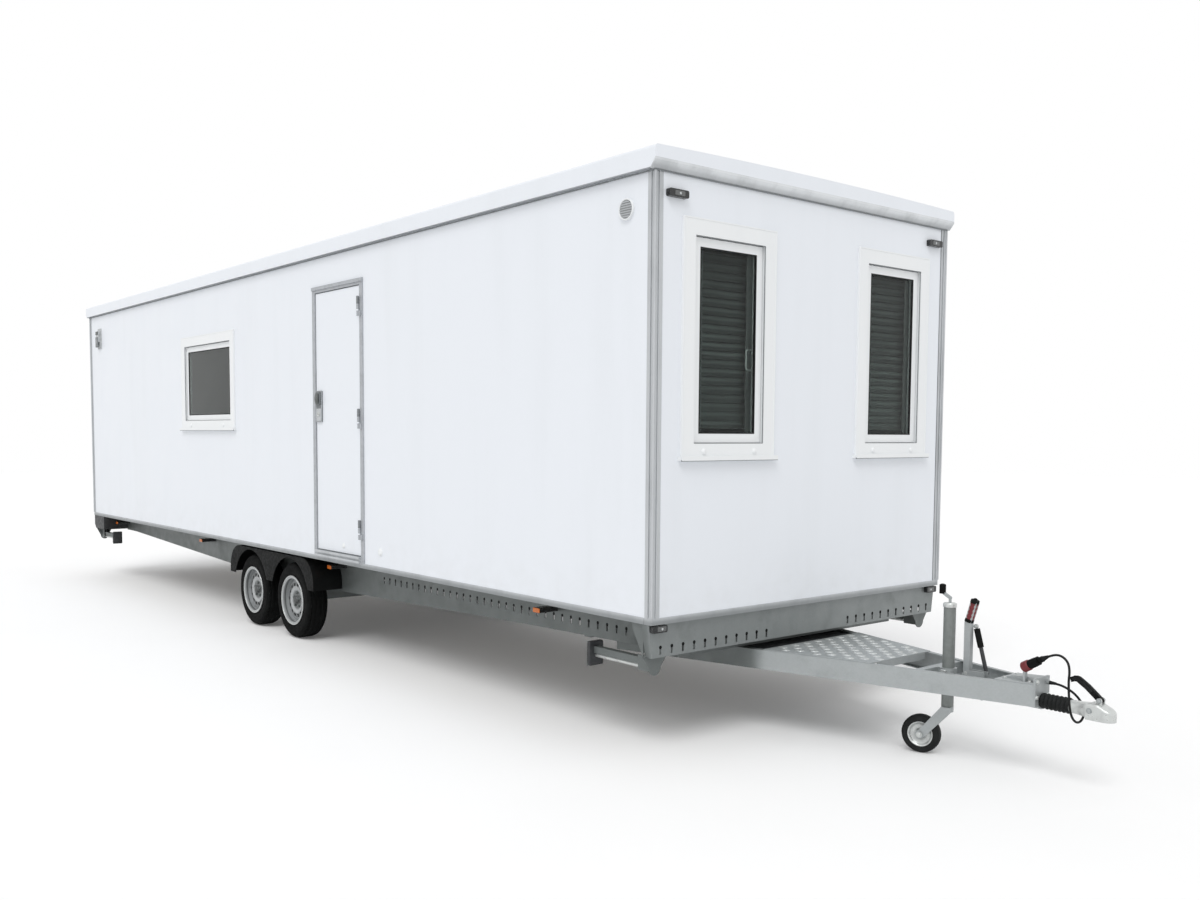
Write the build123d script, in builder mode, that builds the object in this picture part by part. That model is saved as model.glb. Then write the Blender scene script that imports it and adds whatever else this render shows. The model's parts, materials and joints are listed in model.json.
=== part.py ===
from build123d import *
import os
from math import atan, cos, degrees, radians, sin

os.makedirs("parts", exist_ok=True)

# A site cabin on a road chassis: a box of sandwich panels with a door and three kinds of opening,
# carried by a slotted beam chassis with two axles, a V drawbar, a jockey wheel and corner steadies.
# Millimetres. +X points forward to the coupling, +Z up, the door is on the -Y side.
# The origin is on the ground, under the middle of the whole cabin.

# Body shell
body_length = 9300
body_width = 2480
panel_height = 2200
panel_bottom = 710
wall_thickness = 50
floor_thickness = 60
rail_height = 33
rail_proud = 4
rail_joint = 2
post_leg = 48
post_thickness = 4
post_bead = 5
roof_overhang = 35
fascia_height = 105
fascia_round = 18
roof_crown = 15
drip_height = 45
drip_lip = 6

# Windows, the same section for all of them
glass_thickness = 24
glass_back = 16
sash_width = 46
sash_groove = 5
sash_recess = 8
reveal_thickness = 8
back_ring = 12
casing_width = 78
casing_thickness = 12
sill_height = 22
sill_proud = 32
sill_ear = 15
front_glass_width = 422
front_glass_bottom = 920
front_glass_drop = 340
front_glass_inset = 321
side_glass_width = 967
side_glass_bottom = 1070
side_glass_drop = 552
side_glass_back_share = 0.6234

# Blinds inside the front windows
slat_pitch = 45
slat_thickness = 5
slat_lean = 12
blind_gap = 14
blind_margin = 30
head_rail_height = 36

# Door in the right wall, places measured back from the body's front
door_front_edge = 2927
door_opening_width = 769
door_head = 216
jamb_width = 43
jamb_proud = 8
door_gap = 6
stop_width = 14
leaf_thickness = 38
sill_depth = 46
header_height = 24
header_proud = 15
hinge_radius = 9
hinge_pin_radius = 4
hinge_stand = 18
hinge_length = 90
hinge_lower_length = 36
hinge_plate_width = 32
hinge_low = 212
hinge_high = 216
latch_width = 62
latch_plate_width = 84
latch_height = 228
latch_proud = 10
latch_paddle_proud = 24
latch_low = 995
latch_inset = 12
latch_round = 8

# Fittings on the walls
vent_radius = 54
vent_rim = 9
vent_proud = 10
vent_slats = 5
vent_back = 202
vent_drop = 169
inlet_width = 92
inlet_height = 190
inlet_proud = 32
inlet_ahead = 350
inlet_drop = 170
inlet_lid_height = 120
inlet_round = 10

# Lamps
marker_width = 134
marker_height = 38
marker_proud = 26
marker_inset = 70
marker_drop = 87
corner_lamp_width = 100
corner_lamp_height = 38
corner_lamp_drop = 4
corner_lamp_inset = 8
side_lamp_length = 66
side_lamp_height = 30
side_lamp_proud = 130
side_lamp_top = 618
side_lamp_back_shares = (0.119, 0.400, 0.684, 0.957)
tail_lamp_width = 240
tail_lamp_height = 96
tail_lamp_proud = 28
tail_lamp_inset = 30

# Chassis
beam_inset = 255
beam_flange = 60
beam_sheet = 5
beam_front_depth = 177
beam_middle_depth = 277
beam_rear_depth = 157
beam_belly_shares = (0.13, 0.41, 0.60, 0.93)
slot_width = 14
slot_height = 44
slot_pitch = 80
slot_row_drop = 122
slot_row_back = 470
slot_row_count = 34
plate_back = 20
plate_depth = 50
plate_height = 172
plate_lean = 22
plate_slot_drop = 136
plate_slot_count = 11
plate_slot_pitch = 80
plate_slot_inset = 82
rear_beam_length = 340
rear_beam_height = 147
rear_beam_chamfer = 45
bearer_width = 60
bearer_depth = 100
bearer_back_shares = (0.21, 0.36, 0.63, 0.79)

# Axles and wheels
axle_back_share = 0.491
axle_spacing = 754
tyre_radius = 300
tyre_width = 185
tyre_inset = 30
tyre_shoulder = 34
bead_inset = 15
rim_radius = 195
bead_seat = 180
fit_gap = 0.3
stub_radius = 25
arm_plate = 20
axle_tube = 90
axle_lead = 120
rim_hole_count = 14
rim_hole_radius = 14
rim_hole_circle = 123
rim_outline_shares = (
    (0.03, 1.0), (0.06, 1.0), (0.075, 0.922), (0.925, 0.922), (0.94, 1.0), (0.97, 1.0), (0.96, 0.892),
    (0.38, 0.892), (0.33, 0.79), (0.28, 0.72), (0.25, 0.53), (0.31, 0.37), (0.31, 0.0),
)
rim_face_shares = (
    (0.27, 0.0), (0.27, 0.34), (0.215, 0.52), (0.24, 0.74), (0.30, 0.82), (0.33, 0.892), (0.045, 0.892),
)

# Mudguards over each pair of wheels
guard_reach = 800
guard_top = 660
guard_low = 420
guard_sheet = 5
guard_side_gap = 12
guard_wheel_gap = 42
guard_round = 190

# Drawbar, two level channels; places along it are measured back from the arm tips
arm_drop = 45
arm_spread = 432
arm_tip_half = 65
arm_length = 1362
arm_root = 900
arm_height = 105
arm_wall = 5
arm_flange = 52
arm_tip_flange = 20
seat_gap = 0.3
hanger_back = 160
step_start = 15
step_back = 762
step_sheet = 5
step_margin = 8
step_lip = 34
bridge_back = 569
bridge_depth = 40
bridge_height = 60

# Overrun device and coupling
tube_drop = 80
end_plate = 12
end_plate_above = 31
housing_radius = 42
housing_back = 422
top_plate_back = 172
top_plate_sheet = 8
hump_half = 40
hump_run = 52
web_half = 6
draw_radius = 25
draw_back = 322
bellows_length = 141
bellows_radius = 38
bellows_neck = 31
bellows_folds = 7
head_length = 205
head_half_width = 42
head_height = 76
head_nose_height = 42
head_round = 14
socket_radius = 25
socket_depth = 38
socket_back = 48
head_body_length = 78
handle_pivot_back = 70
handle_pivot_rise = 14
handle_thickness = 22
handle_width = 24
ear_thickness = 6
pin_radius = 6
handle_points_shares = ((0, 0), (-0.44, 0.37), (-0.80, 0.61), (-1.0, 0.53))
handle_reach = 138
swing_length = 190
swing_drop = 16
swing_eye = 20
swing_half = 9

# Handbrake lever and its gas strut, in the middle plane
lever_back = 379
lever_pivot_drop = 14
lever_straight = 254
lever_grip = 112
lever_grip_lean = 32
lever_width = 34
lever_thickness = 28
lever_cheek = 6
strut_side = 31
strut_foot_ahead = 84
strut_foot_rise = 7
strut_head_ahead = 22
strut_head_rise = 233
strut_radius = 10
strut_rod_radius = 4
strut_eye_radius = 11
strut_eye_width = 12
strut_body_share = 0.58
strut_rod_share = 0.49

# Jockey wheel
jockey_back = 487
jockey_radius = 30
jockey_top = 783
jockey_low = 255
clamp_radius = 42
jockey_inner_radius = 25
jockey_inner_top = 560
fork_collar_height = 26
fork_plate = 8
fork_half = 36
fork_trail = 127
fork_trail_angle = 198.2
fork_width = 46
jockey_wheel_radius = 98
jockey_wheel_width = 54
jockey_rim_radius = 64
jockey_rim_depth = 15
jockey_hub_radius = 21
jockey_tyre_round = 16
jockey_axle_radius = 9
crank_radius = 7
crank_rise = 26
crank_throw = 44
crank_lift = 26
knob_radius = 15
knob_height = 46
knob_round = 6

# Corner steadies
steady_inset = 85
steady_pivot_back = 120
steady_pivot_height = 470
steady_leg_length = 415
steady_leg_width = 40
steady_leg_height = 36
steady_cheek = 5
steady_play = 6
steady_ear_back = 62
steady_ear_half = 84
steady_ear_radius = 42
steady_ear_low = 405
steady_cheek_low = 424
foot_thickness = 8
foot_width = 96
foot_height = 130
foot_drop = 20
spindle_radius = 8
spindle_drop = 30
spindle_start = 20

# Electric lead with its plug in a parking holder
lead_radius = 5.5
gland_radius = 10
plug_radius = 21
plug_length = 96
plug_collar = 24
plug_neck = 14
holder_radius = 24
holder_length = 16
holder_leg = 10
lead_offsets = (
    (14, 40, 462), (52, 40, 462), (94, 46, 450), (132, 60, 422), (158, 70, 384), (172, 64, 344),
    (177, 36, 318), (178, 0, 309), (178, -38, 320), (176, -68, 350), (173, -82, 396), (170, -85, 450),
    (166, -84, 512), (169, -82, 560), (157, -78, 601), (119, -73, 624), (73, -66, 616), (30, -62, 591),
)

overrun = 2

# Places that follow from the sizes
bellows_start = arm_length + end_plate
head_start = bellows_start + bellows_length
drawbar_reach = head_start + head_length
overall_length = roof_overhang + body_length + drawbar_reach
x_rear = roof_overhang - overall_length / 2
x_front = x_rear + body_length
half_width = body_width / 2
panel_top = panel_bottom + panel_height
rail_bottom = panel_bottom - rail_height
window_border = sash_width + sash_groove + reveal_thickness
front_glass_height = panel_height - front_glass_bottom - front_glass_drop
front_glass_middle = half_width - front_glass_inset - front_glass_width / 2
side_glass_height = panel_height - side_glass_bottom - side_glass_drop
side_glass_back = side_glass_back_share * body_length
door_opening_height = panel_height - door_head
hinge_pitch = (door_opening_height - hinge_low - hinge_high) / 2
vent_middle = panel_height - vent_drop
inlet_back = body_length - inlet_ahead
inlet_low = panel_height - inlet_drop - inlet_height
marker_low = panel_height - marker_drop - marker_height
beam_half = half_width - beam_inset
axle_back = axle_back_share * body_length
plate_low = rail_bottom - plate_height
arm_top = plate_low - arm_drop
arm_low = arm_top - arm_height
tube_height = arm_top - tube_drop
step_end = arm_length - step_back
bridge_start = arm_length - bridge_back
housing_start = arm_length - housing_back
top_plate_start = arm_length - top_plate_back
draw_start = arm_length - draw_back
lever_ahead = arm_length - lever_back
lever_pivot_height = arm_top - lever_pivot_drop
jockey_ahead = arm_length - jockey_back
lead_route = [(bellows_start + x, y, z) for x, y, z in lead_offsets]

front_face = Plane(origin=(x_front, 0, panel_bottom), x_dir=(0, 1, 0), z_dir=(1, 0, 0))
rear_face = Plane(origin=(x_rear, 0, panel_bottom), x_dir=(0, -1, 0), z_dir=(-1, 0, 0))
right_face = Plane(origin=(x_front, -half_width, panel_bottom), x_dir=(1, 0, 0), z_dir=(0, -1, 0))
left_face = Plane(origin=(x_front, half_width, panel_bottom), x_dir=(-1, 0, 0), z_dir=(0, 1, 0))
middle_plane = Plane(origin=(x_front, 0, 0), x_dir=(1, 0, 0), z_dir=(0, -1, 0))


def save(piece, name):
    """Label one finished piece and write it."""
    piece.part.label = name
    export_step(piece.part, f"parts/{name}.step")


def block(plane, low, high):
    """A rectangular block between two corners given in a plane's own x, y and z."""
    with BuildSketch(plane.offset(low[2])) as outline:
        with Locations(((low[0] + high[0]) / 2, (low[1] + high[1]) / 2)):
            Rectangle(high[0] - low[0], high[1] - low[1])
    extrude(outline.sketch, amount=high[2] - low[2])


def ring(plane, middle, outer, inner, depth):
    """A rectangular ring standing on a plane, around the middle point."""
    with BuildSketch(plane) as outline:
        with Locations(middle):
            Rectangle(*outer)
            Rectangle(*inner, mode=Mode.SUBTRACT)
    extrude(outline.sketch, amount=depth)


# Floor panel between the walls, lying on the chassis
with BuildPart() as floor:
    with BuildSketch(Plane.XY.offset(rail_bottom)):
        with Locations(((x_rear + x_front) / 2, 0)):
            Rectangle(body_length - 2 * wall_thickness, body_width - 2 * wall_thickness)
    extrude(amount=floor_thickness)
save(floor, "floor")


# Walls, with the window holes cut through them
def window_hole(glass_width, glass_height):
    """The hole in the wall that a window with this glass needs."""
    return glass_width + 2 * window_border, glass_height + 2 * window_border


front_hole = window_hole(front_glass_width, front_glass_height)
side_hole = window_hole(side_glass_width, side_glass_height)
front_windows = [
    (side * front_glass_middle, front_glass_bottom + front_glass_height / 2) for side in (-1, 1)
]
side_window_height = side_glass_bottom + side_glass_height / 2

with BuildPart() as front_wall:
    with BuildSketch(front_face):
        Rectangle(body_width, panel_height, align=(Align.CENTER, Align.MIN))
        with Locations(*front_windows):
            Rectangle(*front_hole, mode=Mode.SUBTRACT)
    extrude(amount=-wall_thickness)
save(front_wall, "front_wall")

with BuildPart() as rear_wall:
    with BuildSketch(rear_face):
        Rectangle(body_width, panel_height, align=(Align.CENTER, Align.MIN))
    extrude(amount=-wall_thickness)
save(rear_wall, "rear_wall")

with BuildPart() as left_wall:
    with BuildSketch(left_face):
        with Locations((body_length / 2, panel_height / 2)):
            Rectangle(body_length - 2 * wall_thickness, panel_height)
        with Locations((side_glass_back, side_window_height)):
            Rectangle(*side_hole, mode=Mode.SUBTRACT)
    extrude(amount=-wall_thickness)
save(left_wall, "left_wall")

door_rear_edge = door_front_edge + door_opening_width
with BuildPart() as right_wall_front:
    block(right_face, (-door_front_edge, 0, -wall_thickness), (-wall_thickness, panel_height, 0))
save(right_wall_front, "right_wall_front")

with BuildPart() as right_wall_rear:
    block(right_face, (wall_thickness - body_length, 0, -wall_thickness), (-door_rear_edge, panel_height, 0))
    with BuildSketch(right_face):
        with Locations((-side_glass_back, side_window_height)):
            Rectangle(*side_hole)
    extrude(amount=-wall_thickness, mode=Mode.SUBTRACT)
save(right_wall_rear, "right_wall_rear")

with BuildPart() as right_wall_header:
    block(
        right_face,
        (-door_rear_edge, door_opening_height, -wall_thickness),
        (-door_front_edge, panel_height, 0),
    )
save(right_wall_header, "right_wall_header")

# Roof tray with a gently crowned top, its end overhangs cut back for the drip rails
roof_half = half_width + roof_overhang
with BuildPart() as roof:
    with BuildSketch(Plane.YZ.offset(x_rear - roof_overhang)) as roof_section:
        with BuildLine():
            fascia_top = panel_top + fascia_height
            Polyline(
                (-roof_half, fascia_top),
                (-roof_half, panel_top),
                (roof_half, panel_top),
                (roof_half, fascia_top),
            )
            ThreePointArc((roof_half, fascia_top), (0, fascia_top + roof_crown), (-roof_half, fascia_top))
        make_face()
        fillet(roof_section.vertices().group_by(Axis.Y)[-1], radius=fascia_round)
    extrude(amount=body_length + 2 * roof_overhang)
    for face in (front_face, rear_face):
        with BuildSketch(Plane(origin=face.origin, x_dir=face.z_dir, z_dir=-face.x_dir)):
            with BuildLine():
                Polyline(
                    (0, panel_height),
                    (roof_overhang, panel_height + drip_height),
                    (roof_overhang + overrun, panel_height + drip_height),
                    (roof_overhang + overrun, panel_height - overrun),
                    (0, panel_height - overrun),
                    close=True,
                )
            make_face()
        extrude(amount=roof_half + overrun, both=True, mode=Mode.SUBTRACT)
save(roof, "roof")

with BuildPart() as drip_rails:
    for face in (front_face, rear_face):
        with BuildSketch(Plane(origin=face.origin, x_dir=face.z_dir, z_dir=-face.x_dir)):
            with BuildLine():
                Polyline(
                    (0, panel_height),
                    (roof_overhang, panel_height + drip_height),
                    (roof_overhang, panel_height + drip_height - 2 * drip_lip),
                    (rail_proud, panel_height - drip_lip),
                    (0, panel_height - drip_lip),
                    close=True,
                )
            make_face()
        extrude(amount=roof_half, both=True)
save(drip_rails, "drip_rails")

# Corner posts: outside angles with a bead along the edge
with BuildPart() as corner_posts:
    with BuildSketch(Plane.XY.offset(panel_bottom)):
        for end, corner_x in ((1, x_front), (-1, x_rear)):
            for side in (-1, 1):
                corner_y = side * half_width
                leg_middle = (post_leg - post_thickness) / 2
                with Locations((corner_x - end * leg_middle, corner_y + side * post_thickness / 2)):
                    Rectangle(post_leg + post_thickness, post_thickness)
                with Locations((corner_x + end * post_thickness / 2, corner_y - side * leg_middle)):
                    Rectangle(post_thickness, post_leg + post_thickness)
                with Locations((corner_x + end * post_bead / 2, corner_y + side * post_bead / 2)):
                    Circle(post_bead)
    extrude(amount=panel_height - drip_lip)
    with BuildSketch(Plane.XY.offset(panel_bottom)):
        with Locations(((x_rear + x_front) / 2, 0)):
            Rectangle(body_length, body_width)
    extrude(amount=panel_height, mode=Mode.SUBTRACT)
save(corner_posts, "corner_posts")

# Bottom rails under the wall panels
with BuildPart() as bottom_rails:
    for end, rail_x in ((1, x_front), (-1, x_rear)):
        with BuildSketch(Plane.XY.offset(rail_bottom)):
            with Locations((rail_x + end * (rail_proud - wall_thickness) / 2, 0)):
                Rectangle(wall_thickness + rail_proud, body_width + 2 * rail_proud)
        extrude(amount=rail_height)
    for side in (-1, 1):
        with BuildSketch(Plane.XY.offset(rail_bottom)):
            with Locations(((x_rear + x_front) / 2, side * (half_width + (rail_proud - wall_thickness) / 2))):
                Rectangle(body_length - 2 * (wall_thickness + rail_joint), wall_thickness + rail_proud)
        extrude(amount=rail_height)
save(bottom_rails, "bottom_rails")


# Windows
def window_frame(face, middle, glass):
    """Frame with its casing, grooved sash and sill, standing in the hole of a wall's outer face."""
    hole = window_hole(*glass)
    lined = (hole[0] - 2 * reveal_thickness, hole[1] - 2 * reveal_thickness)
    sash = (lined[0] - 2 * sash_groove, lined[1] - 2 * sash_groove)
    casing = (hole[0] + 2 * casing_width, hole[1] + 2 * casing_width)
    ring(face.offset(-wall_thickness), middle, hole, glass, back_ring)
    ring(face.offset(-wall_thickness), middle, hole, lined, wall_thickness)
    ring(face.offset(-wall_thickness), middle, sash, glass, wall_thickness - sash_recess)
    ring(face, middle, casing, lined, casing_thickness)
    sill_low = middle[1] - casing[1] / 2
    sill_half = casing[0] / 2 + sill_ear
    block(
        face,
        (middle[0] - sill_half, sill_low, 0),
        (middle[0] + sill_half, sill_low + sill_height, sill_proud),
    )


def window_glass(face, middle, glass):
    """The sealed pane that fills the sash."""
    with BuildSketch(face.offset(glass_back - wall_thickness)) as pane:
        with Locations(middle):
            Rectangle(*glass)
    extrude(pane.sketch, amount=glass_thickness)


front_glass = (front_glass_width, front_glass_height)
side_glass = (side_glass_width, side_glass_height)
side_windows = (
    (right_face, (-side_glass_back, side_window_height)),
    (left_face, (side_glass_back, side_window_height)),
)

with BuildPart() as front_window_frames:
    for place in front_windows:
        window_frame(front_face, place, front_glass)
save(front_window_frames, "front_window_frames")

with BuildPart() as front_window_glass:
    for place in front_windows:
        window_glass(front_face, place, front_glass)
save(front_window_glass, "front_window_glass")

with BuildPart() as side_window_frames:
    for face, place in side_windows:
        window_frame(face, place, side_glass)
save(side_window_frames, "side_window_frames")

with BuildPart() as side_window_glass:
    for face, place in side_windows:
        window_glass(face, place, side_glass)
save(side_window_glass, "side_window_glass")

# Slatted blinds, closed, hung from a head rail on the inner face of the front wall
slat_count = int((front_glass_height + 2 * blind_margin) / slat_pitch)
blind_width = front_glass_width + 2 * blind_margin
blind_top = front_glass_bottom + front_glass_height + window_border + head_rail_height / 2
with BuildPart() as front_blinds:
    for place in front_windows:
        rail_plane = Plane(origin=front_face.origin, x_dir=front_face.z_dir, z_dir=-front_face.x_dir)
        with BuildSketch(rail_plane.offset(-place[0] - blind_width / 2)):
            with BuildLine():
                edge = -wall_thickness - blind_gap
                blind_back = edge - slat_lean - slat_thickness
                slats = []
                for index in range(slat_count):
                    level = blind_top - index * slat_pitch
                    slats += [(edge - slat_lean, level), (edge, level - slat_pitch)]
                Polyline(*slats, (blind_back, slats[-1][1]), (blind_back, blind_top), close=True)
            make_face()
            with Locations((-wall_thickness - (blind_gap + slat_lean + slat_thickness) / 2, blind_top)):
                Rectangle(blind_gap + slat_lean + slat_thickness, head_rail_height)
        extrude(amount=blind_width)
save(front_blinds, "front_blinds")

# Door frame with its head, stops, header strip and the lower halves of the hinges
jamb_inner_front = -door_front_edge - jamb_width
jamb_inner_rear = -door_rear_edge + jamb_width
leaf_front = jamb_inner_front - door_gap
leaf_rear = jamb_inner_rear + door_gap
leaf_low = sill_depth + door_gap
leaf_top = door_opening_height - jamb_width - door_gap
hinge_x = (jamb_inner_front + leaf_front) / 2
hinge_levels = [hinge_low + index * hinge_pitch for index in range(3)]

with BuildPart() as door_frame:
    for low_x, high_x in ((-door_rear_edge, jamb_inner_rear), (jamb_inner_front, -door_front_edge)):
        block(right_face, (low_x, 0, -wall_thickness), (high_x, door_opening_height, jamb_proud))
    block(
        right_face,
        (-door_rear_edge, door_opening_height - jamb_width, -wall_thickness),
        (-door_front_edge, door_opening_height, jamb_proud),
    )
    block(
        right_face,
        (-door_rear_edge, door_opening_height - header_height, 0),
        (-door_front_edge, door_opening_height, header_proud),
    )
    for low_x, high_x in (
        (jamb_inner_rear, jamb_inner_rear + stop_width),
        (jamb_inner_front - stop_width, jamb_inner_front),
    ):
        block(
            right_face,
            (low_x, sill_depth, -wall_thickness),
            (high_x, leaf_top + door_gap, -leaf_thickness - door_gap),
        )
    block(
        right_face,
        (jamb_inner_rear, leaf_top + door_gap - stop_width, -wall_thickness),
        (jamb_inner_front, leaf_top + door_gap, -leaf_thickness - door_gap),
    )
    for level in hinge_levels:
        low_end = level - hinge_length / 2
        block(
            right_face,
            (hinge_x, low_end, jamb_proud),
            (hinge_x + hinge_plate_width, low_end + hinge_lower_length, hinge_stand),
        )
        hinge_foot = Plane(right_face.from_local_coords((hinge_x, low_end, hinge_stand)), z_dir=(0, 0, 1))
        with BuildSketch(hinge_foot):
            Circle(hinge_radius)
        extrude(amount=hinge_lower_length)
        with BuildSketch(hinge_foot):
            Circle(hinge_pin_radius)
        extrude(amount=hinge_length - fit_gap)
save(door_frame, "door_frame")

with BuildPart() as door_sill:
    sill_nose = sill_proud - door_gap
    block(right_face, (jamb_inner_rear, 0, -wall_thickness), (jamb_inner_front, sill_depth, sill_nose))
    with BuildSketch(right_face.offset(sill_nose)):
        with Locations(((jamb_inner_rear + jamb_inner_front) / 2, sill_depth / 2)):
            Rectangle(jamb_inner_front - jamb_inner_rear, sill_depth / 3)
    extrude(amount=-header_proud, mode=Mode.SUBTRACT)
save(door_sill, "door_sill")

with BuildPart() as door_leaf:
    block(right_face, (leaf_rear, leaf_low, -leaf_thickness), (leaf_front, leaf_top, 0))
save(door_leaf, "door_leaf")

with BuildPart() as door_hinges:
    for level in hinge_levels:
        low_end = level - hinge_length / 2 + hinge_lower_length + fit_gap
        upper_length = hinge_length - hinge_lower_length - fit_gap
        block(
            right_face,
            (hinge_x - hinge_plate_width, low_end, 0),
            (hinge_x, low_end + upper_length, hinge_stand),
        )
        hinge_foot = Plane(right_face.from_local_coords((hinge_x, low_end, hinge_stand)), z_dir=(0, 0, 1))
        with BuildSketch(hinge_foot):
            Circle(hinge_radius)
        extrude(amount=upper_length)
        with BuildSketch(hinge_foot):
            Circle(hinge_pin_radius + fit_gap)
        extrude(amount=upper_length, mode=Mode.SUBTRACT)
save(door_hinges, "door_hinges")

# Latch: a back plate, a dark paddle above and a lock plate below
latch_x = leaf_rear + latch_inset + latch_plate_width / 2
with BuildPart() as door_latch:
    with BuildSketch(right_face):
        with Locations((latch_x, latch_low + latch_height / 2)):
            RectangleRounded(latch_plate_width, latch_height, latch_round)
    extrude(amount=latch_proud)
    with BuildSketch(right_face.offset(latch_proud)):
        with Locations((latch_x, latch_low + latch_height * 3 / 4)):
            RectangleRounded(latch_width, latch_height * 2 / 5, latch_round)
    extrude(amount=latch_paddle_proud - latch_proud)
    with BuildSketch(right_face.offset(latch_proud)):
        with Locations((latch_x, latch_low + latch_height / 4)):
            Circle(latch_width / 4)
    extrude(amount=latch_proud / 2)
save(door_latch, "door_latch")

# Round louvred vent
with BuildPart() as vent_grille:
    with BuildSketch(right_face):
        with Locations((-vent_back, vent_middle)):
            Circle(vent_radius)
    extrude(amount=vent_proud)
    louvre = 2 * (vent_radius - vent_rim) / (2 * vent_slats - 1)
    with BuildSketch(right_face.offset(vent_proud)) as louvre_gaps:
        with Locations((-vent_back, vent_middle)):
            Circle(vent_radius - vent_rim)
        for index in range(vent_slats):
            with Locations((-vent_back, vent_middle + (2 * index - vent_slats + 1) * louvre)):
                Rectangle(2 * vent_radius, louvre, mode=Mode.SUBTRACT)
    extrude(amount=-vent_proud * 2 / 3, mode=Mode.SUBTRACT)
save(vent_grille, "vent_grille")

# Power inlet box with its sprung lid
with BuildPart() as power_inlet:
    inlet_middle = inlet_low + inlet_height / 2
    with BuildSketch(right_face):
        with Locations((-inlet_back, inlet_middle)):
            RectangleRounded(inlet_width, inlet_height, inlet_round)
    extrude(amount=inlet_proud / 2)
    with BuildSketch(right_face.offset(inlet_proud / 2)):
        with Locations((-inlet_back, inlet_middle + (inlet_height - inlet_lid_height) / 2 - inlet_round)):
            RectangleRounded(inlet_width - inlet_round, inlet_lid_height, inlet_round)
    extrude(amount=inlet_proud / 2)
save(power_inlet, "power_inlet")

# Marker lamps: two high on the front wall, two under the front rail, a row along each side
with BuildPart() as marker_lamps:
    for side in (-1, 1):
        marker_y = side * (half_width - marker_inset - marker_width / 2)
        with BuildSketch(front_face):
            with Locations((marker_y, marker_low + marker_height / 2)):
                RectangleRounded(marker_width, marker_height, marker_height / 4)
        extrude(amount=marker_proud)
        lamp_middle = -rail_height - corner_lamp_drop - corner_lamp_height / 2
        lamp_y = side * (half_width - corner_lamp_inset - corner_lamp_width / 2)
        with BuildSketch(front_face.offset(-plate_back)):
            with Locations((lamp_y, lamp_middle)):
                RectangleRounded(corner_lamp_width, corner_lamp_height, corner_lamp_height / 4)
        extrude(amount=plate_back + rail_proud)
        beam_face = Plane(origin=(x_front, side * beam_half, 0), x_dir=(1, 0, 0), z_dir=(0, -1, 0))
        with BuildSketch(beam_face):
            for share in side_lamp_back_shares:
                with Locations((-share * body_length, side_lamp_top - side_lamp_height / 2)):
                    RectangleRounded(side_lamp_length, side_lamp_height, side_lamp_height / 4)
        extrude(amount=-side * side_lamp_proud)
save(marker_lamps, "marker_lamps")

# Chassis beams: channels with a deep belly over the axles and a row of slots in front
beam_front_x = -plate_back - plate_depth
beam_rear_x = rear_beam_length - body_length
beam_knee_depth = beam_front_depth + (beam_middle_depth - beam_front_depth) / 4
beam_bottom = [
    (beam_front_x, rail_bottom - beam_front_depth),
    (-beam_belly_shares[0] * body_length, rail_bottom - beam_knee_depth),
    (-beam_belly_shares[1] * body_length, rail_bottom - beam_middle_depth),
    (-beam_belly_shares[2] * body_length, rail_bottom - beam_middle_depth),
    (-beam_belly_shares[3] * body_length, rail_bottom - beam_rear_depth),
    (beam_rear_x, rail_bottom - beam_rear_depth),
]
with BuildPart() as chassis_beams:
    for side in (-1, 1):
        web = Plane(origin=(x_front, side * beam_half, 0), x_dir=(1, 0, 0), z_dir=(0, -1, 0))
        with BuildSketch(web):
            with BuildLine():
                Polyline((beam_rear_x, rail_bottom), (beam_front_x, rail_bottom), *beam_bottom, close=True)
            make_face()
        extrude(amount=side * beam_flange)
        with BuildSketch(web.offset(side * beam_sheet)):
            with BuildLine():
                Polyline((beam_rear_x, rail_bottom), (beam_front_x, rail_bottom), *beam_bottom, close=True)
            make_face()
            offset(amount=-beam_sheet, kind=Kind.INTERSECTION)
        extrude(amount=side * beam_flange, mode=Mode.SUBTRACT)
        with BuildSketch(web.offset(-side * overrun)):
            for index in range(slot_row_count):
                with Locations((-slot_row_back - index * slot_pitch, rail_bottom - slot_row_drop)):
                    Rectangle(slot_width, slot_height)
        extrude(amount=side * (beam_sheet + 2 * overrun), mode=Mode.SUBTRACT)
save(chassis_beams, "chassis_beams")

# Front crossmember: a slotted channel right under the front rail
with BuildPart() as front_crossmember:
    with BuildSketch(Plane.YZ.offset(x_front - plate_back)):
        with BuildLine():
            Polyline(
                (-half_width, rail_bottom),
                (half_width, rail_bottom),
                (half_width - plate_lean, plate_low),
                (plate_lean - half_width, plate_low),
                close=True,
            )
        make_face()
    extrude(amount=-plate_depth)
    with BuildSketch(Plane.YZ.offset(x_front - plate_back - beam_sheet)):
        with BuildLine():
            Polyline(
                (-half_width, rail_bottom),
                (half_width, rail_bottom),
                (half_width - plate_lean, plate_low),
                (plate_lean - half_width, plate_low),
                close=True,
            )
        make_face()
        offset(amount=-beam_sheet, kind=Kind.INTERSECTION)
    extrude(amount=-plate_depth, mode=Mode.SUBTRACT)
    with BuildSketch(Plane.YZ.offset(x_front - plate_back + overrun)):
        for side in (-1, 1):
            for index in range(plate_slot_count):
                across = side * (half_width - plate_slot_inset - index * plate_slot_pitch)
                with Locations((across, rail_bottom - plate_slot_drop)):
                    Rectangle(slot_width, slot_height)
    extrude(amount=-beam_sheet - 2 * overrun, mode=Mode.SUBTRACT)
save(front_crossmember, "front_crossmember")

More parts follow.
